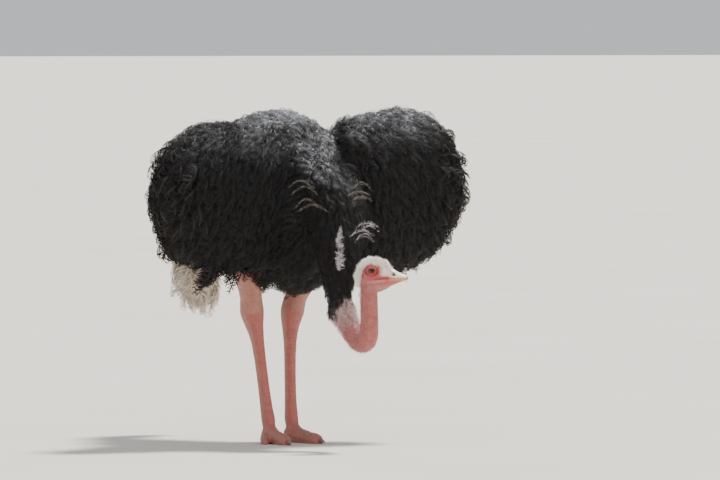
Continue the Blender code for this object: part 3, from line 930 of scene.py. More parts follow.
class Growth(Graph):
    """A Geometry Nodes tree that grows a coat on a patch of skin."""

    INPUTS = (
        ("Spacing", "NodeSocketFloat", 0.015), ("Length Spread", "NodeSocketFloat", 0.25),
        ("Turn Spread", "NodeSocketFloat", 0.3), ("Droop", "NodeSocketFloat", 0.1),
        ("Ruffle", "NodeSocketFloat", 0.1), ("Ruffle Scale", "NodeSocketFloat", 9.0),
        ("Seed", "NodeSocketInt", 1),
    )

    def __init__(self, name, variants, finish, slot="plumage_black"):
        super().__init__(bpy.data.node_groups.new(name, "GeometryNodeTree"))
        face = self.tree.interface
        face.new_socket("Geometry", in_out="INPUT", socket_type="NodeSocketGeometry")
        self.keys = {}
        for label, kind, value in self.INPUTS:
            socket = face.new_socket(label, in_out="INPUT", socket_type=kind)
            socket.default_value = value
            self.keys[label] = socket.identifier
        face.new_socket("Geometry", in_out="OUTPUT", socket_type="NodeSocketGeometry")
        self.start = self.tree.nodes.new("NodeGroupInput")
        self.finish, self.slot = finish, slot
        coat = self.bent(self.placed(self.scattered(), self.turned(), variants))
        self.tree.links.new(coat.link, self.tree.nodes.new("NodeGroupOutput").inputs[0])

    def given(self, label):
        return Socket(self, self.start.outputs[label])

    def named(self, name, kind="FLOAT"):
        return self.node("GeometryNodeInputNamedAttribute", {"data_type": kind}, {"Name": name})

    def random(self, low, high, seed):
        values = {2: low, 3: high, "Seed": self.given("Seed") + seed}
        return self.node("FunctionNodeRandomValue", {"data_type": "FLOAT"}, values, output=1)

    def keep(self, geometry, name, value, kind="FLOAT", domain="POINT"):
        settings = {"data_type": kind, "domain": domain}
        values = {"Geometry": geometry, "Name": name, "Value": value}
        return self.node("GeometryNodeStoreNamedAttribute", settings, values)

    def vector(self, operation, first, second):
        return self.node("ShaderNodeVectorMath", {"operation": operation}, {0: first, 1: second})

    def scaled(self, first, scale):
        return self.node("ShaderNodeVectorMath", {"operation": "SCALE"}, {0: first, "Scale": scale})

    def scattered(self):
        """The plumes' roots, with each one's place on the skin's map, its length and its tone."""
        spacing = self.given("Spacing")
        points = self.node("GeometryNodeDistributePointsOnFaces", {"distribute_method": "POISSON"}, {
            "Mesh": self.given("Geometry"), "Distance Min": spacing, "Density Max": 1.6 / (spacing * spacing),
            "Density Factor": self.named("grow"), "Seed": self.given("Seed")})
        points = self.keep(points, "root_map", self.named("OFBake", "FLOAT_VECTOR"), "FLOAT_VECTOR")
        size = self.named("length") * (1 + self.given("Length Spread") * self.random(-1.0, 1.0, 11))
        points = self.keep(points, "size", size)
        return self.keep(points, "tone", self.random(0.0, 1.0, 23))

    def turned(self):
        """Each plume lies along the way it grows, with its upper side outwards, and strays a little."""
        heading = {"Vector": self.named("growth_way", "FLOAT_VECTOR")}
        turn = self.node("FunctionNodeAlignRotationToVector", {"axis": "Y"}, heading)
        outward = {"Rotation": turn, "Vector": self.named("outward", "FLOAT_VECTOR")}
        turn = self.node("FunctionNodeAlignRotationToVector", {"axis": "Z", "pivot_axis": "Y"}, outward)
        spread = self.given("Turn Spread")
        wobble = self.node("ShaderNodeCombineXYZ", None, {
            0: self.random(-0.5, 0.5, 31) * spread, 1: self.random(-1.0, 1.0, 37) * spread,
            2: self.random(-1.0, 1.0, 41) * spread})
        wobble = self.node("FunctionNodeEulerToRotation", None, {0: wobble})
        return self.node("FunctionNodeRotateRotation", {"rotation_space": "LOCAL"}, {0: turn, 1: wobble})

    def placed(self, points, turn, variants):
        """One of the variants on each root, made real."""
        pick = self.node("FunctionNodeRandomValue", {"data_type": "INT"}, {
            4: 0, 5: len(variants.objects) - 1, "Seed": self.given("Seed") + 53}, output=2)
        shapes = self.node("GeometryNodeCollectionInfo", {"transform_space": "ORIGINAL"}, {
            "Collection": variants, "Separate Children": True, "Reset Children": True})
        coat = self.node("GeometryNodeInstanceOnPoints", None, {
            "Points": points, "Instance": shapes, "Pick Instance": True, "Instance Index": pick,
            "Rotation": turn, "Scale": self.named("size")})
        return self.node("GeometryNodeRealizeInstances", None, {"Geometry": coat})

    def bent(self, coat):
        """The tips droop and ruffle. Each plume gets its spot on the skin's map, and its material."""
        tip, size = self.named("tip"), self.named("size")
        fall = self.scaled((0.0, 0.0, -1.0), size * tip * tip * self.given("Droop"))
        waves = self.node("ShaderNodeTexNoise", {"noise_dimensions": "3D"}, {
            "Vector": self.node("GeometryNodeInputPosition"), "Scale": self.given("Ruffle Scale"),
            "Detail": 2.0}, output=1)
        waves = self.vector("SUBTRACT", waves, (0.5, 0.5, 0.5))
        waves = self.scaled(waves, size * tip * self.given("Ruffle") * 4.0)
        offset = self.vector("ADD", fall, waves)
        coat = self.node("GeometryNodeSetPosition", None, {"Geometry": coat, "Offset": offset})
        spot = self.scaled(self.named("vane", "FLOAT_VECTOR"), MAP_SPOT)
        spot = self.vector("ADD", self.named("root_map", "FLOAT_VECTOR"), spot)
        coat = self.keep(coat, "OFBake", spot, "FLOAT2", "CORNER")
        return self.node("GeometryNodeSetMaterial", None, {"Geometry": coat, "Material": self.finish})


def patch_of(skin, name, grow, length, lift, pull):
    """The part of the skin that a coat grows on, with its density, its way of growing and its length."""
    mesh = skin.data.copy()
    outward, lie, way = (stored(mesh, key) for key in ("outward", "lie", "way"))
    heading = lie * math.cos(lift) + outward * math.sin(lift)
    heading = unit(heading * (1 - pull) + way * pull)
    inwards = (heading * outward).sum(axis=1, keepdims=True)
    heading = unit(heading + outward * np.clip(0.12 - inwards, 0, 1))
    store(mesh, "grow", np.clip(grow, 0, 1))
    store(mesh, "growth_way", heading)
    store(mesh, "length", np.broadcast_to(length, (len(outward),)))
    with edited(mesh) as work:
        unused = [face for face in work.faces if max(grow[vert.index] for vert in face.verts) < 0.02]
        bmesh.ops.delete(work, geom=unused, context="FACES")
    return new_object(name, mesh)


def grown_coat(skin, name, growth, grow, length, lift, pull=0.0, bleach=None, replaced=(), **settings):
    """Grows one piece of coat on the skin and makes it a plain mesh.

    The plumes stand off the skin by the angle lift, and pull turns them towards their free way of hanging.
    """
    patch = patch_of(skin, name + "_patch", grow, length, lift, pull)
    modifier = patch.modifiers.new("growth", "NODES")
    modifier.node_group = growth.tree
    for label, value in settings.items():
        modifier[growth.keys[label.replace("_", " ")]] = value
    graph = bpy.context.evaluated_depsgraph_get()
    mesh = bpy.data.meshes.new_from_object(patch.evaluated_get(graph))
    mesh.name = name
    bpy.data.objects.remove(patch)
    if not len(mesh.polygons):
        raise RuntimeError(f"{name} grew nothing")
    places = coordinates(mesh)
    # Sun bleach and the painted sheen of the sunlit tops, for the finish to read.
    store(mesh, "bleach", bleach(places) if bleach else np.zeros(len(places)))
    mesh.materials.clear()
    mesh.materials.append(growth.finish)
    for key in mesh.attributes.keys():
        kept = key in ("tip", "tone", "bleach", "OFBake") or key.startswith(".")
        if not kept and not mesh.attributes[key].is_required:
            mesh.attributes.remove(mesh.attributes[key])
    finished(new_object(name, mesh), growth.slot, *replaced)


# ---- Bill, eyes and claws ----
def ring_turns(count):
    return [2 * math.pi * corner / count for corner in range(count)]


def lofted(name, rings, finish, levels=0):
    """A closed solid through rings of equal length, with flat ends and its faces turned outwards."""
    count, points = len(rings[0]), [point for ring in rings for point in ring]
    faces = [(start + i, start + (i + 1) % count, start + count + (i + 1) % count, start + count + i)
             for start in range(0, len(points) - count, count) for i in range(count)]
    faces += [tuple(range(count)), tuple(range(len(points) - count, len(points)))]
    mesh = mesh_from(name, points, faces)
    with edited(mesh) as work:
        bmesh.ops.remove_doubles(work, verts=work.verts, dist=1e-6)
        bmesh.ops.recalc_face_normals(work, faces=work.faces)
    mesh.materials.append(finish)
    mesh.shade_smooth()
    obj = new_object(name, mesh)
    if levels:
        rounding = obj.modifiers.new("rounding", "SUBSURF")
        rounding.levels = rounding.render_levels = levels
    return obj


# Bill: place along the head, half width, top and underside in height above the eyes.
BILL_ROWS = (
    (0.118, 0.0268, 0.0090, -0.0680), (0.128, 0.0266, 0.0088, -0.0665), (0.138, 0.0260, 0.0080, -0.0645),
    (0.148, 0.0250, 0.0058, -0.0610), (0.157, 0.0240, 0.0020, -0.0570), (0.165, 0.0231, -0.0038, -0.0535),
    (0.172, 0.0222, -0.0082, -0.0507), (0.180, 0.0212, -0.0118, -0.0478), (0.188, 0.0198, -0.0148, -0.0448),
    (0.195, 0.0178, -0.0172, -0.0422), (0.201, 0.0150, -0.0196, -0.0402), (0.206, 0.0116, -0.0218, -0.0386),
    (0.2095, 0.0078, -0.0240, -0.0368), (0.2118, 0.0038, -0.0264, -0.0345),
)
BILL_START, BILL_LENGTH = 0.118, 0.0945
BILL_GAP = 0.0003  # half the gap between the bill's closed halves
NOSTRIL_ALONG, NOSTRIL_HEIGHT, NOSTRIL_TILT = 0.1455, -0.0135, -0.36
NAIL_REST = 0.0008  # the lowest that a nail comes to the ground


def bill_half(name, upper, finish):
    """Half of the bill, its cutting edge on the mouth's line, with the nostrils' slits in the upper half."""
    rings = []
    for along, half, top, under in BILL_ROWS:
        ring = []
        for turn in ring_turns(28):
            x, y = math.cos(turn), math.sin(turn)
            wide = half * math.copysign(abs(x) ** 0.85, x)
            if upper:
                rise = (top - MOUTH) * y**0.92 if y > 0 else 0.0
                ridge = 0.0012 * math.exp(-((x / 0.20) ** 2)) * (y > 0)
                ring.append(head_place(along, wide, MOUTH + BILL_GAP + rise + ridge))
            else:
                fall = (MOUTH - under) * abs(y) ** 0.92 if y < 0 else 0.0
                ring.append(head_place(along, wide * 0.93, MOUTH - BILL_GAP - fall))
        rings.append(ring)
    made = lofted(name, rings, finish, 2 if upper else 1)
    if upper:
        carve_nostrils(made)
    return made


def carve_nostrils(bill):
    """Presses a long slit into each side of the upper bill."""
    mesh = bpy.data.meshes.new_from_object(bill.evaluated_get(bpy.context.evaluated_depsgraph_get()))
    bill.modifiers.clear()
    bill.data = mesh
    points = coordinates(mesh)
    along, side, height = head_axes(points)
    ahead, up = along - NOSTRIL_ALONG, height - NOSTRIL_HEIGHT
    cos, sin = math.cos(NOSTRIL_TILT), math.sin(NOSTRIL_TILT)
    length, rise = ahead * cos + up * sin, -ahead * sin + up * cos
    slit = np.exp(-((length / 0.0160) ** 4) - (rise / 0.0062) ** 2)
    rim = np.exp(-((length / 0.0185) ** 4) - ((np.abs(rise) - 0.0095) / 0.0028) ** 2)
    off_middle = np.abs(side) > 0.006
    move = np.where(side < 0, -1.0, 1.0) * ((0.0011 * rim - 0.0075 * slit) * off_middle)
    set_coordinates(mesh, points + np.array(HEAD_SIDE)[None, :] * move[:, None])
    # Painted shade in the slits.
    store(mesh, "hollow", np.clip(slit * 1.6 - 0.1, 0, 1) * off_middle)


def bill_finish():
    """Horn: pale pink above, orange yellow below the mouth, skin pink behind, with painted shade in the
    nostrils.
    """
    finish, tint = Finish("bill_horn", 0.42, Coat_Weight=0.12), look()
    along, streak = finish.attribute("length"), finish.noise(210.0, 4.0)
    upper = finish.mix(finish.between(along, 0.25, 0.8), tint.bill_pale, (0.88, 0.77, 0.71))
    lower = finish.mix(finish.between(along, 0.1, 0.6), (0.62, 0.22, 0.12), tint.bill_orange)
    colour = finish.mix(finish.attribute("above"), lower, upper)
    colour = finish.mix(finish.between(streak, 0.40, 0.75) * 0.30, colour, (0.58, 0.34, 0.27))
    colour = finish.layers(colour, flesh=tint.skin_pink, lip=tint.skin_red)
    colour = finish.mix(finish.between(along, 0.88, 0.99) * 0.8, colour, (0.10, 0.07, 0.055))
    # Painted shade in the nostrils' slits.
    finish.set("Base Color", finish.layers(colour, hollow=(0.010, 0.005, 0.006)))
    finish.set("Roughness", finish.between(streak, 0.2, 0.8) * 0.2 + 0.32)
    finish.relief(streak + finish.noise(900.0, 2.0) * 0.3, 0.25, 0.0008)
    return finish.material


def make_eye(name, node, finish, way):
    """An eyeball with a bulging front, a brown iris and a round pupil, turned a little forwards."""
    middle = centre(node)
    axis = (HEAD_SIDE * way + HEAD_AHEAD * 0.10).normalized()
    across = axis.cross(UP).normalized()
    rise = across.cross(axis).normalized()
    radius, steps, rings = EYE_RADIUS * 0.985, 32, []
    for step in range(1, steps):
        turn = math.pi * step / steps
        bulge = 1 + 0.045 * math.exp(-((turn / 0.42) ** 4))
        ring = []
        for spin in ring_turns(40):
            flat = (across * math.cos(spin) + rise * math.sin(spin)) * math.sin(turn)
            ring.append(middle + (flat + axis * math.cos(turn) * bulge) * radius)
        rings.append(ring)
    eye = lofted(name, rings, finish)
    from_middle = coordinates(eye.data) - np.array(middle)
    forward = from_middle @ np.array(axis)
    spread = np.linalg.norm(from_middle - np.outer(forward, np.array(axis)), axis=1)
    # The back of the ball counts as further out than any ring of the iris.
    store(eye.data, "iris", spread / EYE_RADIUS + (forward <= 0) * 2.0)
    return eye


def eye_finish():
    """A dark brown iris round a black pupil, darker still at its rim."""
    finish = Finish("eye_brown", 0.05, Specular_IOR_Level=0.18)
    ring, grain = finish.attribute("iris"), finish.noise(700.0, 3.0)
    iris = finish.mix(finish.between(grain, 0.35, 0.7), look().iris, (0.13, 0.055, 0.024))
    colour = finish.mix(finish.between(ring, 0.24, 0.30), (0.003, 0.002, 0.002), iris)
    finish.set("Base Color", finish.mix(finish.between(ring, 0.56, 0.62), colour, (0.035, 0.015, 0.010)))
    return finish.material


def make_claw(name, node, finish):
    """A blunt curved nail that tapers to its tip, with growth ridges."""
    low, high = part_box(node)
    x, z = (low.x + high.x) / 2, (low.z + high.z) / 2
    lean = math.copysign(math.radians(7), x)
    heading = Vector((math.sin(lean), -math.cos(lean), 0))
    length = (high.y - low.y) * 1.02
    base = Vector((x - heading.x * length * 0.5, high.y, z + 0.001))
    side = heading.cross(UP)
    rings = []
    for step in range(15):
        share = step / 14
        half = 0.0103 * (1 - share) ** 0.55 + 0.0006
        ridge = 1 + 0.035 * math.sin(share * 40)
        along = base + heading * (length * share * 0.97) - UP * (0.0072 * share**2)
        ring = []
        for turn in ring_turns(20):
            rise = math.sin(turn)
            rise = rise if rise > 0 else rise * 0.75
            ring.append(along + side * (half * 0.95 * math.cos(turn) * ridge) + UP * (half * rise * ridge))
        rings.append(ring)
    lift = UP * max(0.0, NAIL_REST - min(point.z for ring in rings for point in ring))
    return lofted(name, [[point + lift for point in ring] for ring in rings], finish)


def claw_finish():
    """Horn with fine streaks along the nail."""
    finish = Finish("claw_horn", 0.45)
    streak = finish.noise(160.0, 4.0)
    finish.set("Base Color", finish.mix(finish.between(streak, 0.35, 0.7), look().claw, (0.30, 0.23, 0.18)))
    finish.relief(streak, 0.4, 0.001)
    return finish.material


# ---- Settings ----
def size_property(label, text, value):
    return bpy.props.FloatProperty(name=label, description=text, default=value, unit="LENGTH",
                                   subtype="DISTANCE")


def colour_property(label, text, value):
    return bpy.props.FloatVectorProperty(name=label, description=text, default=value, size=3, subtype="COLOR",
                                         min=0.0, max=1.0)


class OstrichSizes(bpy.types.PropertyGroup):
    skin_cell: size_property("Skin Cell", "Size of the skin's faces under the plumage", 0.0135)
    plume_spacing: size_property("Plume Spacing", "Distance between neighbouring plumes", 0.0130)
    wool_spacing: size_property("Wool Spacing", "Distance between neighbouring woolly tufts", 0.0098)
    down_spacing: size_property("Down Spacing", "Distance between neighbouring tufts of down", 0.0021)
    camera_distance: size_property("Camera Distance", "From the camera to the bird", 30.0)


class OstrichLook(bpy.types.PropertyGroup):
    plume_black: colour_property("Plume Black", "Root colour of the body plumes", (0.0103, 0.0102, 0.0107))
    plume_tip: colour_property("Plume Tip", "Tip colour of the body plumes", (0.0134, 0.0129, 0.0130))
    wool_tip: colour_property("Wool Tip", "Tip colour of the woolly curls", (0.0165, 0.0161, 0.0168))
    # Painted highlight: sunlight on the fine strands of the wings' crests, given as a pale blue-grey tip
    # colour.
    strand_highlight_tip: colour_property("Crest Strands", "Fine strands on the wings' crests", (0.105, 0.110, 0.128))
    # Colour of the sun bleach and of the painted sheen on the plumes' sunlit tops.
    plume_bleach_sheen: colour_property("Sun Bleach and Sheen", "Plumes bleached by the sun, with painted sheen", (0.56, 0.58, 0.64))
    # Colour of the most bleached curls and of the painted sheen on the sunlit back.
    wool_bleach_sheen: colour_property("Wool Bleach and Sheen", "Curls bleached the most, with painted sheen", (0.93, 0.95, 1.0))
    worn_tip: colour_property("Worn Tip", "Tips of the worn breast plumes", (0.20, 0.172, 0.150))
    plume_white: colour_property("White Plume", "Tail and wing primaries", (0.80, 0.74, 0.64))
    down_root: colour_property("Down Root", "Root colour of the crown's down", (0.94, 0.78, 0.69))
    down_tip: colour_property("Down Tip", "Tip colour of the crown's down", (1.0, 0.965, 0.93))
    skin_pink: colour_property("Pink Skin", "Neck and legs", (0.345, 0.078, 0.070))
    skin_pale: colour_property("Pale Skin", "Lighter mottling", (0.41, 0.128, 0.112))
    skin_red: colour_property("Red Skin", "Face and shins", (0.50, 0.038, 0.046))
    neck_grey: colour_property("Grey Neck", "Skin at the foot of the neck", (0.37, 0.235, 0.228))
    leg_brown: colour_property("Brown Leg", "Dusty skin of shanks and shins", (0.455, 0.232, 0.168))
    scute_colour: colour_property("Scutes", "Plates on the shins and toes", (0.44, 0.100, 0.070))
    bill_pale: colour_property("Pale Bill", "Upper half of the bill", (0.88, 0.62, 0.58))
    bill_orange: colour_property("Orange Bill", "Lower half of the bill", (0.58, 0.28, 0.115))
    iris: colour_property("Iris", "Ring round the pupil", (0.052, 0.020, 0.010))
    claw: colour_property("Claw", "Nail of the big toe", (0.12, 0.090, 0.075))


def sizes():
    return bpy.context.scene.ostrich_sizes


def look():
    return bpy.context.scene.ostrich_look


# ---- Operators ----
class OSTRICH_OT_skin(bpy.types.Operator):
    """Makes the one skin that stands for the flesh"""

    bl_idname = "ostrich.skin"
    bl_label = "Skin"

    def execute(self, context):
        skin = make_skin(sizes().skin_cell)
        skin.data.materials.append(skin_finish())
        finished(skin, "skin_pink", *[name for name in REGIONS if name not in BLACK_TOP])
        return {"FINISHED"}


class OSTRICH_OT_bill(bpy.types.Operator):
    """Makes both halves of the bill"""

    bl_idname = "ostrich.bill"
    bl_label = "Bill"

    def execute(self, context):
        horn = bill_finish()
        for name, node, upper in (("bill_above", "bill_upper", True), ("bill_below", "bill_lower", False)):
            obj = bill_half(name, upper, horn)
            along, _, height = head_axes(coordinates(obj.data))
            below = MOUTH - height
            flesh = 1 - smoothstep(along, 0.120, 0.150)
            if upper:
                flesh = flesh * (0.15 + 0.85 * smoothstep(below, -0.012, -0.003))
            else:
                chin = smoothstep(below, 0.005, 0.013) * (1 - smoothstep(along, 0.170, 0.196))
                flesh = np.maximum(flesh, chin)
                store(obj.data, "hollow", np.zeros(len(along)))
            store(obj.data, "length", np.clip((along - BILL_START) / BILL_LENGTH, 0, 1))
            store(obj.data, "flesh", 0.85 * flesh)
            store(obj.data, "above", np.full(len(along), float(upper)))
            store(obj.data, "lip", bump(below, 0.0, 0.0045) * (1 - smoothstep(along, 0.125, 0.165)))
            finished(obj, "bill_horn", node)
        return {"FINISHED"}


class OSTRICH_OT_eyes(bpy.types.Operator):
    """Makes both eyes"""

    bl_idname = "ostrich.eyes"
    bl_label = "Eyes"

    def execute(self, context):
        finish = eye_finish()
        for side, way in (("left", -1), ("right", 1)):
            eye = make_eye(f"eyeball_{side}", f"eye_{side}", finish, way)
            finished(eye, "eye_brown", f"eye_{side}")
        return {"FINISHED"}


class OSTRICH_OT_claws(bpy.types.Operator):
    """Makes the nail of each big toe"""

    bl_idname = "ostrich.claws"
    bl_label = "Claws"

    def execute(self, context):
        finish = claw_finish()
        for side in ("left", "right"):
            finished(make_claw(f"nail_{side}", f"claw_{side}", finish), "claw_horn", f"claw_{side}")
        return {"FINISHED"}


class OSTRICH_OT_down(bpy.types.Operator):
    """Grows the white down of crown and nape and the sparse fuzz of the neck"""

    bl_idname = "ostrich.down"
    bl_label = "Down"

    def execute(self, context):
        skin = bpy.data.objects["skin"]
        points = coordinates(skin.data)
        along, _, height = head_axes(points)
        crown = stored(skin.data, "crown")
        nape = smoothstep(0.034 - along, 0.0, 0.014) * smoothstep(height, -0.102, -0.086)
        nape = grouped(skin, "neck_upper") * nape
        lower = grouped(skin, "neck_lower") * (1 - stored(skin.data, "cape"))
        collar = lower * (0.22 + 0.7 * smoothstep(points[:, 2], 0.47, 0.56))
        bare = grouped(skin, "neck_upper", "neck_bend", "head") * (1 - crown)
        bare = bare * (1 - smoothstep(along, 0.025, 0.090))
        white = down_finish("down_white", look().down_root, look().down_tip, 0.9)
        lilac = down_finish("down_lilac", (0.48, 0.30, 0.28), (0.80, 0.64, 0.62), 0.3)
        fuzz = down_finish("neck_fuzz", look().skin_pink, (0.62, 0.40, 0.36), 0.4)
        thick, thin = tufts("down_tuft"), tufts("fuzz_tuft")
        for name, kinds, finish, mask, length, share, lift, slot in (
            ("down_crown", thick, white, crown + 0.8 * nape, 0.0145, 0.86, 0.0, "down_white"),
            ("down_collar", thin, lilac, collar, 0.016, 1.15, 0.3, "down_grey"),
            ("fuzz_neck", thin, fuzz, bare, 0.0080, 1.30, 0.6, "down_grey"),
        ):
            grown_coat(skin, name, Growth(name, kinds, finish, slot), mask, length, lift,
                       Spacing=sizes().down_spacing * share, Length_Spread=0.5, Turn_Spread=0.9, Droop=0.05,
                       Ruffle=0.18, Ruffle_Scale=60.0, Seed=90 + len(name))
        return {"FINISHED"}


# The bleached stripe down the breast, by height: its place to the right from the front quarter, its half
# width and its strength.
STRIPE_MIDDLE = ((1.00, 0.255), (1.03, 0.225), (1.08, 0.140), (1.14, 0.115), (1.22, 0.105), (1.34, 0.080))
STRIPE_HALF = ((0.99, 0.004), (1.03, 0.032), (1.08, 0.068), (1.14, 0.075), (1.22, 0.085), (1.34, 0.100))
STRIPE_SHARE = ((1.00, 0.24), (1.06, 0.34), (1.14, 0.50), (1.20, 0.54))


def sun_bleach_and_sheen(places):
    """How far the coat is lightened: the back's dome most, then a mottled stripe and the crests. On dome and
    crests this is partly sun bleach and partly painted sheen of the sunlit tops; the stripe is bleached.
    """
    across, rear, height = across_of(places), places[:, 1], places[:, 2]
    dome = 0.26 * smoothstep(height, 1.10, 1.21) + 0.74 * smoothstep(height, 1.245, 1.33)
    dome = dome * bell_window(across, -0.20, 0.155, 0.03) * (1 - 0.75 * smoothstep(rear, 0.12, 0.50))
    aside, half = np.abs(across - along_rows(height, STRIPE_MIDDLE)), along_rows(height, STRIPE_HALF)
    stripe = along_rows(height, STRIPE_SHARE) * (1 - smoothstep(rear, 0.0, 0.2))
    stripe = stripe * (1 - smoothstep(aside, 0.6 * half, 1.25 * half)) * smoothstep(height, 0.985, 1.01)
    crest = 0.52 * smoothstep(height, 1.16, 1.31) * bell_window(across, 0.21, 0.60, 0.05)
    crest = crest + 0.13 * smoothstep(height, 1.08, 1.24) * bell_window(across, -0.56, -0.22, 0.05)
    spots = np.sin(across * 85 + 3 * np.sin(height * 61))
    spots = spots * np.sin(height * 97 + 2.5 * np.sin(across * 53 + rear * 40))
    spots = np.clip(0.80 + 0.75 * spots, 0.12, 1.4)
    top = smoothstep(height, 1.26, 1.32)
    return np.clip((np.maximum(dome, stripe) + crest) * (spots * (1 - 0.7 * top) + 0.7 * top), 0, 1)


def plume_bleach_and_sheen(places):
    """The long plumes get less bleach and painted sheen than the curls over them."""
    share = sun_bleach_and_sheen(places)
    return 0.50 * share + 0.35 * share**3


# The curls get the most bleach and painted sheen.
def wool_bleach_and_sheen(places):
    return np.clip(1.2 * sun_bleach_and_sheen(places), 0, 1)


def white_bleach(places):
    return np.full(len(places), 0.6)


class OSTRICH_OT_plumage(bpy.types.Operator):
    """Grows the black plumes of the back, breast, wings and neck"""

    bl_idname = "ostrich.plumage"
    bl_label = "Black Plumage"

    def execute(self, context):
        skin, tint, spacing = bpy.data.objects["skin"], look(), sizes().plume_spacing
        points, underside = coordinates(skin.data), -stored(skin.data, "outward")[:, 2]
        across, rear, height = across_of(points), points[:, 1], points[:, 2]
        black = plume_finish("plumage_black", tint.plume_black, tint.plume_tip, tint.plume_bleach_sheen, 0.6)
        brown = plume_finish("plumage_brown", tint.plume_black, (0.019, 0.0135, 0.012), tint.plume_bleach_sheen, 0.6)
        # The plumes get shorter along the right wing's hem and in the notch between back and left wing.
        above_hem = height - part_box("wing_right")[0].z
        hem_cut = (1 - smoothstep(above_hem, 0.06, 0.17)) * bell_window(across, -0.60, -0.27, 0.04)
        notch = bell_window(across, 0.125, 0.26, 0.03) * smoothstep(height, 1.10, 1.20)
        neck_length = along_rows(height, ((0.50, 0.028), (0.60, 0.038), (0.72, 0.055), (1.0, 0.075)))
        trunk, under = grouped(skin, "trunk"), 1 - 0.35 * smoothstep(underside, 0.3, 0.9)
        neck = grouped(skin, "neck_base") + grouped(skin, "neck_lower") * stored(skin.data, "cape")
        laid = Growth("laid_plumes", plumes("laid_plume"), black)
        for name, mask, length, share, seed in (
            ("back", trunk * (rear > 0.12), 0.085 - 0.045 * notch, 1.0, 21),
            ("breast", trunk * (rear <= 0.12), 0.080 - 0.042 * notch, 1.0, 22),
            ("wing_left", grouped(skin, "wing_left"), 0.082, 1.02, 23),
            ("wing_right", grouped(skin, "wing_right"), 0.082 - 0.045 * hem_cut, 1.0, 24),
            ("neck", neck, neck_length, 0.72, 31),
        ):
            grown_coat(skin, f"plumes_{name}", laid, mask * under, length, 0.16, 0.10, plume_bleach_and_sheen,
                       Spacing=spacing * share, Length_Spread=0.25, Turn_Spread=0.35, Droop=0.05, Ruffle=0.08,
                       Seed=seed)
        grown_coat(skin, "plumes_rear", laid, stored(skin.data, "black_top"), 0.082, 0.16, 0.2, sun_bleach_and_sheen,
                   Spacing=spacing, Length_Spread=0.3, Turn_Spread=0.35, Droop=0.08, Ruffle=0.08, Seed=27)
        hem = grouped(skin, "wing_right") * (1 - smoothstep(above_hem, 0.05, 0.12))
        hem = hem * bell_window(across, -0.34, -0.19) * bump(np.sin(across * 62 + 1.0), 1.0, 0.9)
        hanging = Growth("hem_plumes", plumes("hem_plume"), brown)
        grown_coat(skin, "plumes_hem", hanging, hem, 0.100, 0.10, 0.75, Spacing=0.0130, Length_Spread=0.35,
                   Turn_Spread=0.22, Droop=0.10, Ruffle=0.08, Seed=28)
        coverts = Growth("covert_plumes", plumes("covert_plume"), brown)
        for name, mirror, seed in (("wing_left", 1, 25), ("wing_right", -1, 26)):
            rim = smoothstep(points[:, 0] * mirror, 0.50, 0.58)
            rim = rim * smoothstep(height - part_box(name)[0].z, 0.08, 0.20)
            rim = np.maximum(0.14 * smoothstep(height, 1.16, 1.24), rim)
            grown_coat(skin, f"coverts_{name}", coverts, grouped(skin, name) * rim, 0.105, 0.30, 0.0,
                       plume_bleach_and_sheen, Spacing=0.026, Length_Spread=0.25, Turn_Spread=0.5, Droop=0.04,
                       Ruffle=0.06, Seed=seed)
        return {"FINISHED"}


class OSTRICH_OT_wool(bpy.types.Operator):
    """Grows the short woolly curls and fine strands over the plumes of the back and the wings' crests"""

    bl_idname = "ostrich.wool"
    bl_label = "Woolly Curls"

    def execute(self, context):
        skin, tint = bpy.data.objects["skin"], look()
        points, upper = coordinates(skin.data), stored(skin.data, "outward")[:, 2]
        height, front = points[:, 2], 1 - 0.6 * smoothstep(points[:, 1], 0.15, 0.35)
        # The curls pale towards bluish white where they are bleached and where a painted sheen lights the
        # tops.
        curls = plume_finish("wool_black", tint.plume_black, tint.wool_tip, tint.wool_bleach_sheen, 0.55,
                             (0.32, 3.4, 2.5))
        wool = Growth("wool", tufts("wool_tuft"), curls)
        for name, node, low, length, share, seed in (
            ("back", "trunk", 0.98, 0.024, 0.60, 41), ("neck", "neck_base", 0.95, 0.028, 0.70, 44),
            ("wing_left", "wing_left", 1.12, 0.030, 0.72, 42),
            ("wing_right", "wing_right", 1.10, 0.030, 0.72, 43),
        ):
            crest = smoothstep(height, low, low + 0.12) * smoothstep(upper, -0.5, 0.1)
            grown_coat(skin, f"wool_{name}", wool, grouped(skin, node) * crest * front, length, 0.55, 0.0,
                       wool_bleach_and_sheen, Spacing=sizes().wool_spacing * share, Length_Spread=0.35, Turn_Spread=0.9,
                       Ruffle=0.20, Ruffle_Scale=30.0, Seed=seed)
        # The strands' pale blue-grey tips are a painted highlight of sunlight on the wings' crests.
        grey = down_finish("strand_grey", tint.plume_black, tint.strand_highlight_tip, 0.1)
        strands = Growth("crest_strands", tufts("crest_strand"), grey)
        patchy = np.clip(0.55 + 0.6 * np.sin(points[:, 0] * 41 + 2 * np.sin(height * 37)), 0.1, 1)
        for name, low, seed in (("wing_left", 1.08, 45), ("wing_right", 1.04, 46)):
            crest = grouped(skin, name) * smoothstep(height, low, low + 0.20) * smoothstep(upper, -0.6, 0.0)
            grown_coat(skin, f"strands_{name}", strands, crest * patchy, 0.050, 0.15, Spacing=0.0115,
                       Length_Spread=0.35, Turn_Spread=0.7, Ruffle=0.14, Ruffle_Scale=28.0, Seed=seed)
        return {"FINISHED"}


# Arched pale edges of worn plumes, counted from the middle of the neck's foot as seen from the front quarter:
# place to the right, height of the arch's ends, width and rise.
WORN_EDGES = (
    (-0.171, 0.183, 0.086, 0.026), (-0.155, 0.155, 0.096, 0.031), (-0.146, 0.101, 0.088, 0.036),
    (-0.121, 0.086, 0.116, 0.029), (0.070, 0.178, 0.062, 0.024), (0.060, 0.152, 0.078, 0.014),
    (0.070, 0.128, 0.080, 0.018),
)
WHITE_EDGES = (
    (0.093, 0.022, 0.086, 0.024), (0.099, 0.008, 0.070, 0.026), (0.073, -0.020, 0.104, 0.038),
    (0.082, -0.032, 0.072, 0.032),
)


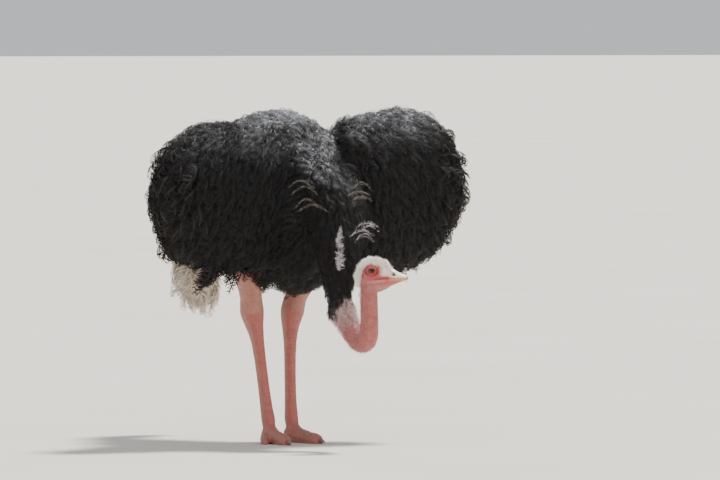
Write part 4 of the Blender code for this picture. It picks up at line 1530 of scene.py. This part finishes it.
class LaidHairs:
    """Fine flat hairs laid on the grown coat, placed as seen from the front quarter."""

    COATS = ("skin", "plumes_back", "plumes_breast", "plumes_neck", "plumes_wing_left", "plumes_wing_right")
    FAR = 3.0  # the rays that find the coat start this far in front of it
    LINES = 2  # long hairs side by side in each arch

    def __init__(self, seed):
        graph = bpy.context.evaluated_depsgraph_get()
        self.trees = [BVHTree.FromObject(bpy.data.objects[coat], graph) for coat in self.COATS]
        self.skin = bpy.data.objects["skin"].data
        self.rng, self.foot = np.random.default_rng(seed), centre("neck_base")
        self.points, self.faces, self.tips, self.tones, self.maps = [], [], [], [], []

    def place(self, across, height, near):
        """A point from its place to the right and its height, both from the neck's foot, and its nearness."""
        across, height = across + self.foot.dot(QUARTER_RIGHT), height + self.foot.z
        return QUARTER_RIGHT * across + UP * height + QUARTER_NEAR * near

    def nearness(self, line):
        """How near the coat comes along a line of places, without steep steps."""
        near = []
        for across, height in line:
            start = self.place(across, height, self.FAR)
            hits = [tree.ray_cast(start, -QUARTER_NEAR)[3] for tree in self.trees]
            near.append(self.FAR - min(hit for hit in hits if hit))
        line = np.array(line)
        apart = np.linalg.norm(line[:, None] - line[None, :], axis=2)
        return (np.array(near)[None, :] - 1.1 * apart).max(axis=1) + 0.002

    def hair(self, path, half):
        """One hair along the path, widest in the middle, with its spot on the skin's map."""
        index = self.trees[0].find_nearest(path[0])[2]
        root = np.array(self.skin.uv_layers["OFBake"].data[self.skin.polygons[index].loop_start].uv)
        tone, start = self.rng.random(), len(self.points)
        for step, place in enumerate(path):
            share = step / (len(path) - 1)
            wide = UP * (half * (1 - 0.75 * abs(2 * share - 1)))
            self.points += [place - wide, place + wide]
            self.tips += [share, share]
            self.tones += [tone, tone]
            self.maps += [root + [0.0, MAP_SPOT * share], root + [MAP_SPOT, MAP_SPOT * share]]
            if step:
                first = start + 2 * step - 2
                self.faces.append((first, first + 2, first + 3, first + 1))

    def arches(self, rows, barbs, reach):
        """Arched ends of worn plumes: a few long hairs side by side and short barbs across them."""
        rng, shares = self.rng, np.linspace(0, 1, 25)
        for across, height, width, rise in rows:
            near = self.nearness([(across + width * (share - 0.5), height + rise * math.sin(math.pi * share))
                                  for share in shares])

            def spot(share, out, lift):
                lean = (share - 0.5) * 1.7
                side = across + width * (share - 0.5) + out * math.sin(lean)
                top = height + rise * math.sin(math.pi * share) + out * math.cos(lean)
                return self.place(side, top, float(np.interp(share, shares, near)) + lift)

            for number in range(self.LINES):
                begin, end = 0.25 * rng.random(), 1 - 0.25 * rng.random()
                phase, out = 6 * rng.random(), (number - self.LINES / 2) * 0.0042 + 0.0015 * rng.normal()
                self.hair([spot(share, out + 0.0015 * math.sin(phase + 9 * share), 0.0008 * number)
                           for share in np.linspace(begin, end, 12)], 0.0007)
            for _ in range(barbs):
                share, size = rng.random(), reach * (0.5 + rng.random())
                self.hair([spot(share + 0.02 * step * rng.normal(), size * step / 2 - 0.2 * reach,
                                0.0012 * step) for step in range(3)], 0.0007)

    def streak(self, across, low, high, half, count):
        """An upright streak of short spread hairs that narrows to its top."""
        rng, heights = self.rng, np.linspace(low, high, 25)
        near = self.nearness([(across, height) for height in heights])
        for _ in range(count):
            height = low + (high - low) * rng.random()
            reach = half * np.interp(height, (low, low + 0.03, high - 0.04, high), (0.7, 1.0, 0.8, 0.15))
            reach = reach * (0.25 + 1.45 * rng.random() ** 1.6)
            way = 1 if rng.random() < 0.5 else -1
            middle = across + 0.12 * half * rng.normal() + 0.002 * math.sin(height * 90)
            climb = 0.011 * rng.normal() + 0.002
            self.hair([self.place(middle + way * reach * step / 3, height + climb * (step / 3) ** 2,
                                  float(np.interp(height, heights, near)) + 0.004 * math.sin(step))
                       for step in range(4)], 0.0009)

    def made(self, name, finish):
        mesh = mesh_from(name, self.points, self.faces)
        store(mesh, "tip", np.array(self.tips, float))
        store(mesh, "tone", np.array(self.tones, float))
        map_points(mesh, "OFBake", self.maps)
        mesh.materials.append(finish)
        return new_object(name, mesh)


class OSTRICH_OT_worn_plumes(bpy.types.Operator):
    """Lays the pale worn plume edges on the shoulders and breast and the white streak down the neck's foot"""

    bl_idname = "ostrich.worn_plumes"
    bl_label = "Worn Plumes"

    def execute(self, context):
        worn = LaidHairs(51)
        worn.arches(WORN_EDGES, 90, 0.007)
        finish = down_finish("plumage_worn", (0.085, 0.071, 0.062), look().worn_tip, 0.1)
        finished(worn.made("edges_worn", finish), "plumage_black")
        white = LaidHairs(52)
        white.arches(WHITE_EDGES, 30, 0.008)
        white.streak(-0.015, -0.137, 0.028, 0.0135, 430)
        finish = down_finish("edges_white", (0.36, 0.32, 0.34), (0.70, 0.64, 0.68), 0.1)
        finished(white.made("edges_white", finish), "plumage_white")
        return {"FINISHED"}


class OSTRICH_OT_white_plumes(bpy.types.Operator):
    """Grows the white plumes of the tail and of the wings' hands"""

    bl_idname = "ostrich.white_plumes"
    bl_label = "White Plumes"

    def execute(self, context):
        skin = bpy.data.objects["skin"]
        white = plume_finish("plumage_white", (0.52, 0.46, 0.39), look().plume_white, (0.68, 0.58, 0.46), 0.7)
        growth = Growth("white_plumes", plumes("white_plume"), white, "plumage_white")
        bare = 1 - stored(skin.data, "dark")
        length = np.clip(0.05 + 0.45 * (coordinates(skin.data)[:, 2] - 0.54), 0.05, 0.15)
        for node, share in (("tail", 1.0), ("primaries_left", 0.70), ("primaries_right", 0.85)):
            grown_coat(skin, f"plumes_{node}", growth, grouped(skin, node) * bare, length * share, 0.22, 0.45,
                       white_bleach, (node,), Spacing=0.0150, Length_Spread=0.45, Turn_Spread=0.32,
                       Droop=0.22, Ruffle=0.10, Seed=70 + len(node))
        return {"FINISHED"}


FLOOR_HALF = 400.0
# Lamps: strength, the way to each, how wide it is in degrees, and its colour.
LAMPS = {
    "key_sun": (6.5, (0.46, 0.04, 1.0), 10, (1.0, 0.965, 0.91)),
    "fill_sun": (1.05, (-0.25, -1.0, 0.55), 60, (0.97, 0.98, 1.0)),
}
# The camera looks at this point, where its view is this wide, from a little above the eyes' height.
VIEW_POINT, VIEW_WIDTH, VIEW_RISE = Vector((0.2171, -0.1949, 0.816)), 2.88, math.radians(1.6)
SENSOR = 36.0


class OSTRICH_OT_stage(bpy.types.Operator):
    """Adds the floor, the lights and the camera"""

    bl_idname = "ostrich.stage"
    bl_label = "Stage"

    def execute(self, context):
        self.lay_floor()
        for name, (energy, towards, angle, colour) in LAMPS.items():
            light = bpy.data.lights.new(name, "SUN")
            light.energy, light.angle, light.color = energy, math.radians(angle), colour
            self.aimed(name, light, Vector(towards))
        world = bpy.data.worlds.new("studio")
        world.use_nodes = True
        back = world.node_tree.nodes["Background"]
        back.inputs["Color"].default_value = (0.90, 0.91, 0.94, 1.0)
        back.inputs["Strength"].default_value = 0.70
        context.scene.world = world
        self.aim_camera(context.scene)
        return {"FINISHED"}

    def lay_floor(self):
        """A wide plain floor, slightly uneven in its colour."""
        ground = Finish("stage_floor", 0.9)
        ground.set("Base Color", ground.mix(ground.between(ground.noise(0.7, 2.0), 0.3, 0.7),
                                            (0.66, 0.625, 0.575), (0.70, 0.665, 0.62)))
        corners = [(x * FLOOR_HALF, y * FLOOR_HALF, 0) for x, y in ((-1, -1), (1, -1), (1, 1), (-1, 1))]
        floor = new_object("stage_floor", mesh_from("stage_floor", corners, [(0, 1, 2, 3)]))
        floor.data.materials.append(ground.material)

    def aimed(self, name, data, away):
        """A lamp or camera whose back is towards the way given."""
        obj = new_object(name, data)
        obj.rotation_mode = "QUATERNION"
        obj.rotation_quaternion = away.to_track_quat("Z", "Y")
        return obj

    def aim_camera(self, scene):
        """The camera stands 30 degrees to the bird's right of head-on, far off."""
        distance = sizes().camera_distance
        away = QUARTER_NEAR * math.cos(VIEW_RISE) + UP * math.sin(VIEW_RISE)
        lens = bpy.data.cameras.new("camera")
        lens.sensor_width, lens.lens = SENSOR, SENSOR * distance / VIEW_WIDTH
        lens.clip_end = 1000.0
        camera = self.aimed("camera", lens, away)
        camera.location = VIEW_POINT + away * distance
        scene.camera = camera


class OSTRICH_PT_panel(bpy.types.Panel):
    """Lists the pieces in the order they are made"""

    bl_idname = "OSTRICH_PT_panel"
    bl_label = "Ostrich"
    bl_space_type = "VIEW_3D"
    bl_region_type = "UI"
    bl_category = "Ostrich"

    def draw(self, context):
        for operator in OPERATORS:
            self.layout.operator(operator.bl_idname)
        for group in (sizes(), look()):
            for key in group.__annotations__:
                self.layout.prop(group, key)


OPERATORS = (
    OSTRICH_OT_skin, OSTRICH_OT_bill, OSTRICH_OT_eyes, OSTRICH_OT_claws, OSTRICH_OT_down, OSTRICH_OT_plumage,
    OSTRICH_OT_wool, OSTRICH_OT_worn_plumes, OSTRICH_OT_white_plumes, OSTRICH_OT_stage,
)
CLASSES = (OstrichSizes, OstrichLook, *OPERATORS, OSTRICH_PT_panel)


def register():
    for item in CLASSES:
        bpy.utils.register_class(item)
    bpy.types.Scene.ostrich_sizes = bpy.props.PointerProperty(type=OstrichSizes)
    bpy.types.Scene.ostrich_look = bpy.props.PointerProperty(type=OstrichLook)


def unregister():
    del bpy.types.Scene.ostrich_look
    del bpy.types.Scene.ostrich_sizes
    for item in reversed(CLASSES):
        bpy.utils.unregister_class(item)


def main():
    register()
    for operator in OPERATORS:
        space, name = operator.bl_idname.split(".")
        getattr(getattr(bpy.ops, space), name)()


if __name__ == "__main__":
    main()
